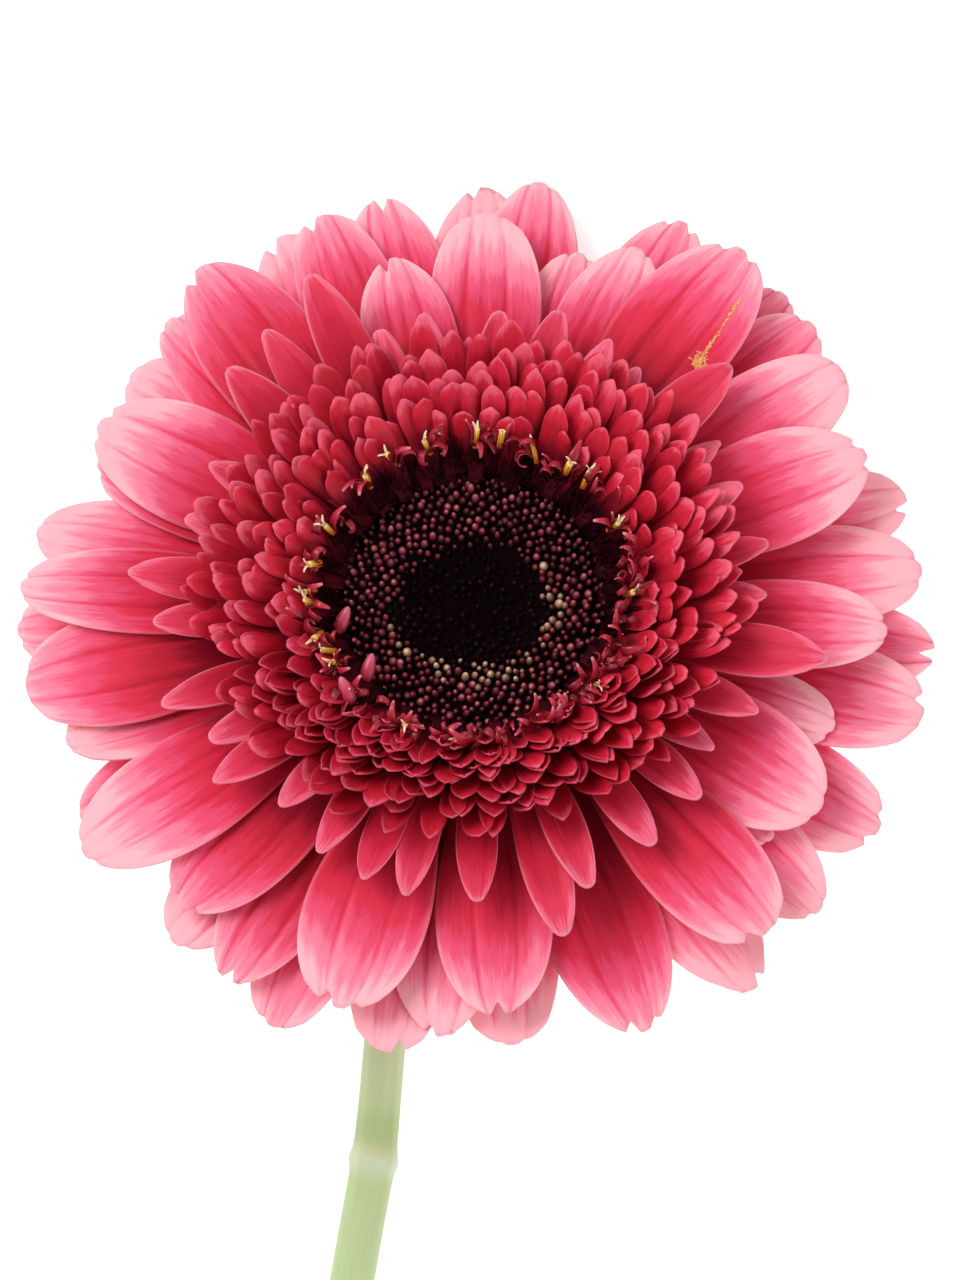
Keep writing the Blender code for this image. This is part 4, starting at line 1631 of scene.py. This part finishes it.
    def build_down(self) -> None:
        """Short pale hairs over the stem."""
        chance = random.Random(self.seed)
        form = Master.take(spike(0.03, 0.006))
        shares = np.array([chance.uniform(0.045, 0.995) for _ in range(self.hairs)])
        centre, radius, side, other = self.frames(shares)
        copies = []
        for k in range(len(shares)):
            turn = chance.uniform(0.0, math.tau)
            out = Vector(side[k]) * math.cos(turn) + Vector(other[k]) * math.sin(turn)
            root = Vector(centre[k]) + out * radius[k] * 0.98
            lean = Vector([chance.uniform(-0.5, 0.5) for _ in range(3)])
            way = (out + lean * 0.7).normalized()
            length = chance.uniform(0.35, 0.8)
            if root.z + way.z * length * MM < 0.0:
                continue
            spin = way.to_track_quat("Z", "Y").to_matrix().to_4x4()
            place = Matrix.Translation(root) @ spin @ Matrix.Scale(MM * length, 4)
            copies.append((form, place, chance.random()))
        hand_over(repeat("stem_down", copies, self.palette.get(DOWN)), "stem_green")


# ---------------------------------------------------------------- stage


@dataclass
class Stage:
    """A pale floor, soft studio light and the camera that looks down on the flower."""

    focus: Vector
    rows: int = 1280  # of the frame, from top to bottom
    scale: float = 0.1214 * MM  # of the table for one row of the frame, at the head
    lens: float = 350.0
    sensor: float = 36.0
    tilt: float = math.radians(3.05)  # of the camera from straight above, towards the head's top
    aim: tuple[float, float] = (6.5, 25.0)  # rows by which the focus is left of and above the middle

    def floor(self) -> None:
        """A wide matt floor, nearly white."""
        deselect_all()
        bpy.ops.mesh.primitive_plane_add(size=6.0, location=(0.0, 0.0, 0.0))
        ground = bpy.context.object
        ground.name = "floor"
        finish = bpy.data.materials.new("white card")
        finish.use_nodes = True
        card = {
            "Base Color": linear("#fbfbfb"),
            "Roughness": 0.9,
            "Specular IOR Level": 0.1,
            "Emission Color": WHITE,
            "Emission Strength": 0.42,
        }
        feed(finish.node_tree.nodes["Principled BSDF"], card)
        ground.data.materials.append(finish)

    def lights(self) -> None:
        """A bright sky-like surround and one large soft light from the upper left."""
        world = bpy.data.worlds.new("studio")
        bpy.context.scene.world = world
        world.use_nodes = True
        feed(world.node_tree.nodes["Background"], {"Color": WHITE, "Strength": 0.56})
        for name, place, size, power in (
            ("key light", (-0.6, 0.5, 0.7), 0.6, 7.9),
            ("fill light", (0.8, -0.5, 0.7), 1.0, 6.2),
        ):
            lamp = bpy.data.lights.new(name, "AREA")
            lamp.shape = "SQUARE"
            lamp.size = size
            lamp.energy = power
            lamp_object = add_object(name, lamp)
            lamp_object.location = self.focus + Vector(place)
            lamp_object.rotation_euler = (-Vector(place)).to_track_quat("-Z", "Y").to_euler()

    def camera(self) -> None:
        """The camera above the head, its frame's top towards the head's top."""
        lens = bpy.data.cameras.new("camera")
        lens.lens = self.lens
        lens.sensor_width = self.sensor
        lens.sensor_fit = "AUTO"
        distance = self.rows * self.scale * self.lens / self.sensor
        up = Vector((0.0, math.cos(self.tilt), -math.sin(self.tilt)))
        out = Vector((0.0, math.sin(self.tilt), math.cos(self.tilt)))
        right = up.cross(out)
        middle = self.focus + right * self.aim[0] * self.scale - up * self.aim[1] * self.scale
        eye = add_object("camera", lens)
        facing = Matrix((right, up, out)).transposed().to_4x4()
        eye.matrix_world = Matrix.Translation(middle + out * distance) @ facing
        bpy.context.scene.camera = eye

    def build(self) -> None:
        """Sets the stage."""
        self.floor()
        self.lights()
        self.camera()
        bpy.context.scene.view_settings.view_transform = "Standard"


def main() -> None:
    """Builds the flower over its solids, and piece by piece."""
    logging.basicConfig(level=logging.INFO, format="%(name)s %(message)s")
    palette = Palette()
    stand = HeadFrame()
    head, middle, axis = stand.matrix(), stand.middle(), stand.axis()
    # The eye is a little longer than wide and sits a little low.
    eye_place = head @ Matrix.Translation((0.0, -0.5, 0.0)) @ Matrix.Diagonal((1.0, 1.045, 1.0, 1.0))
    for part in (
        RayFlorets(palette, head),
        ShortRays(palette, head),
        Ruff(palette, head),
        Eye(palette, eye_place),
        OpenFlorets(palette, head),
        Involucre(palette, head),
        Scape(palette, middle, axis),
        Stage(middle + axis * 3.0 * MM),
    ):
        part.build()


if __name__ == "__main__":
    main()
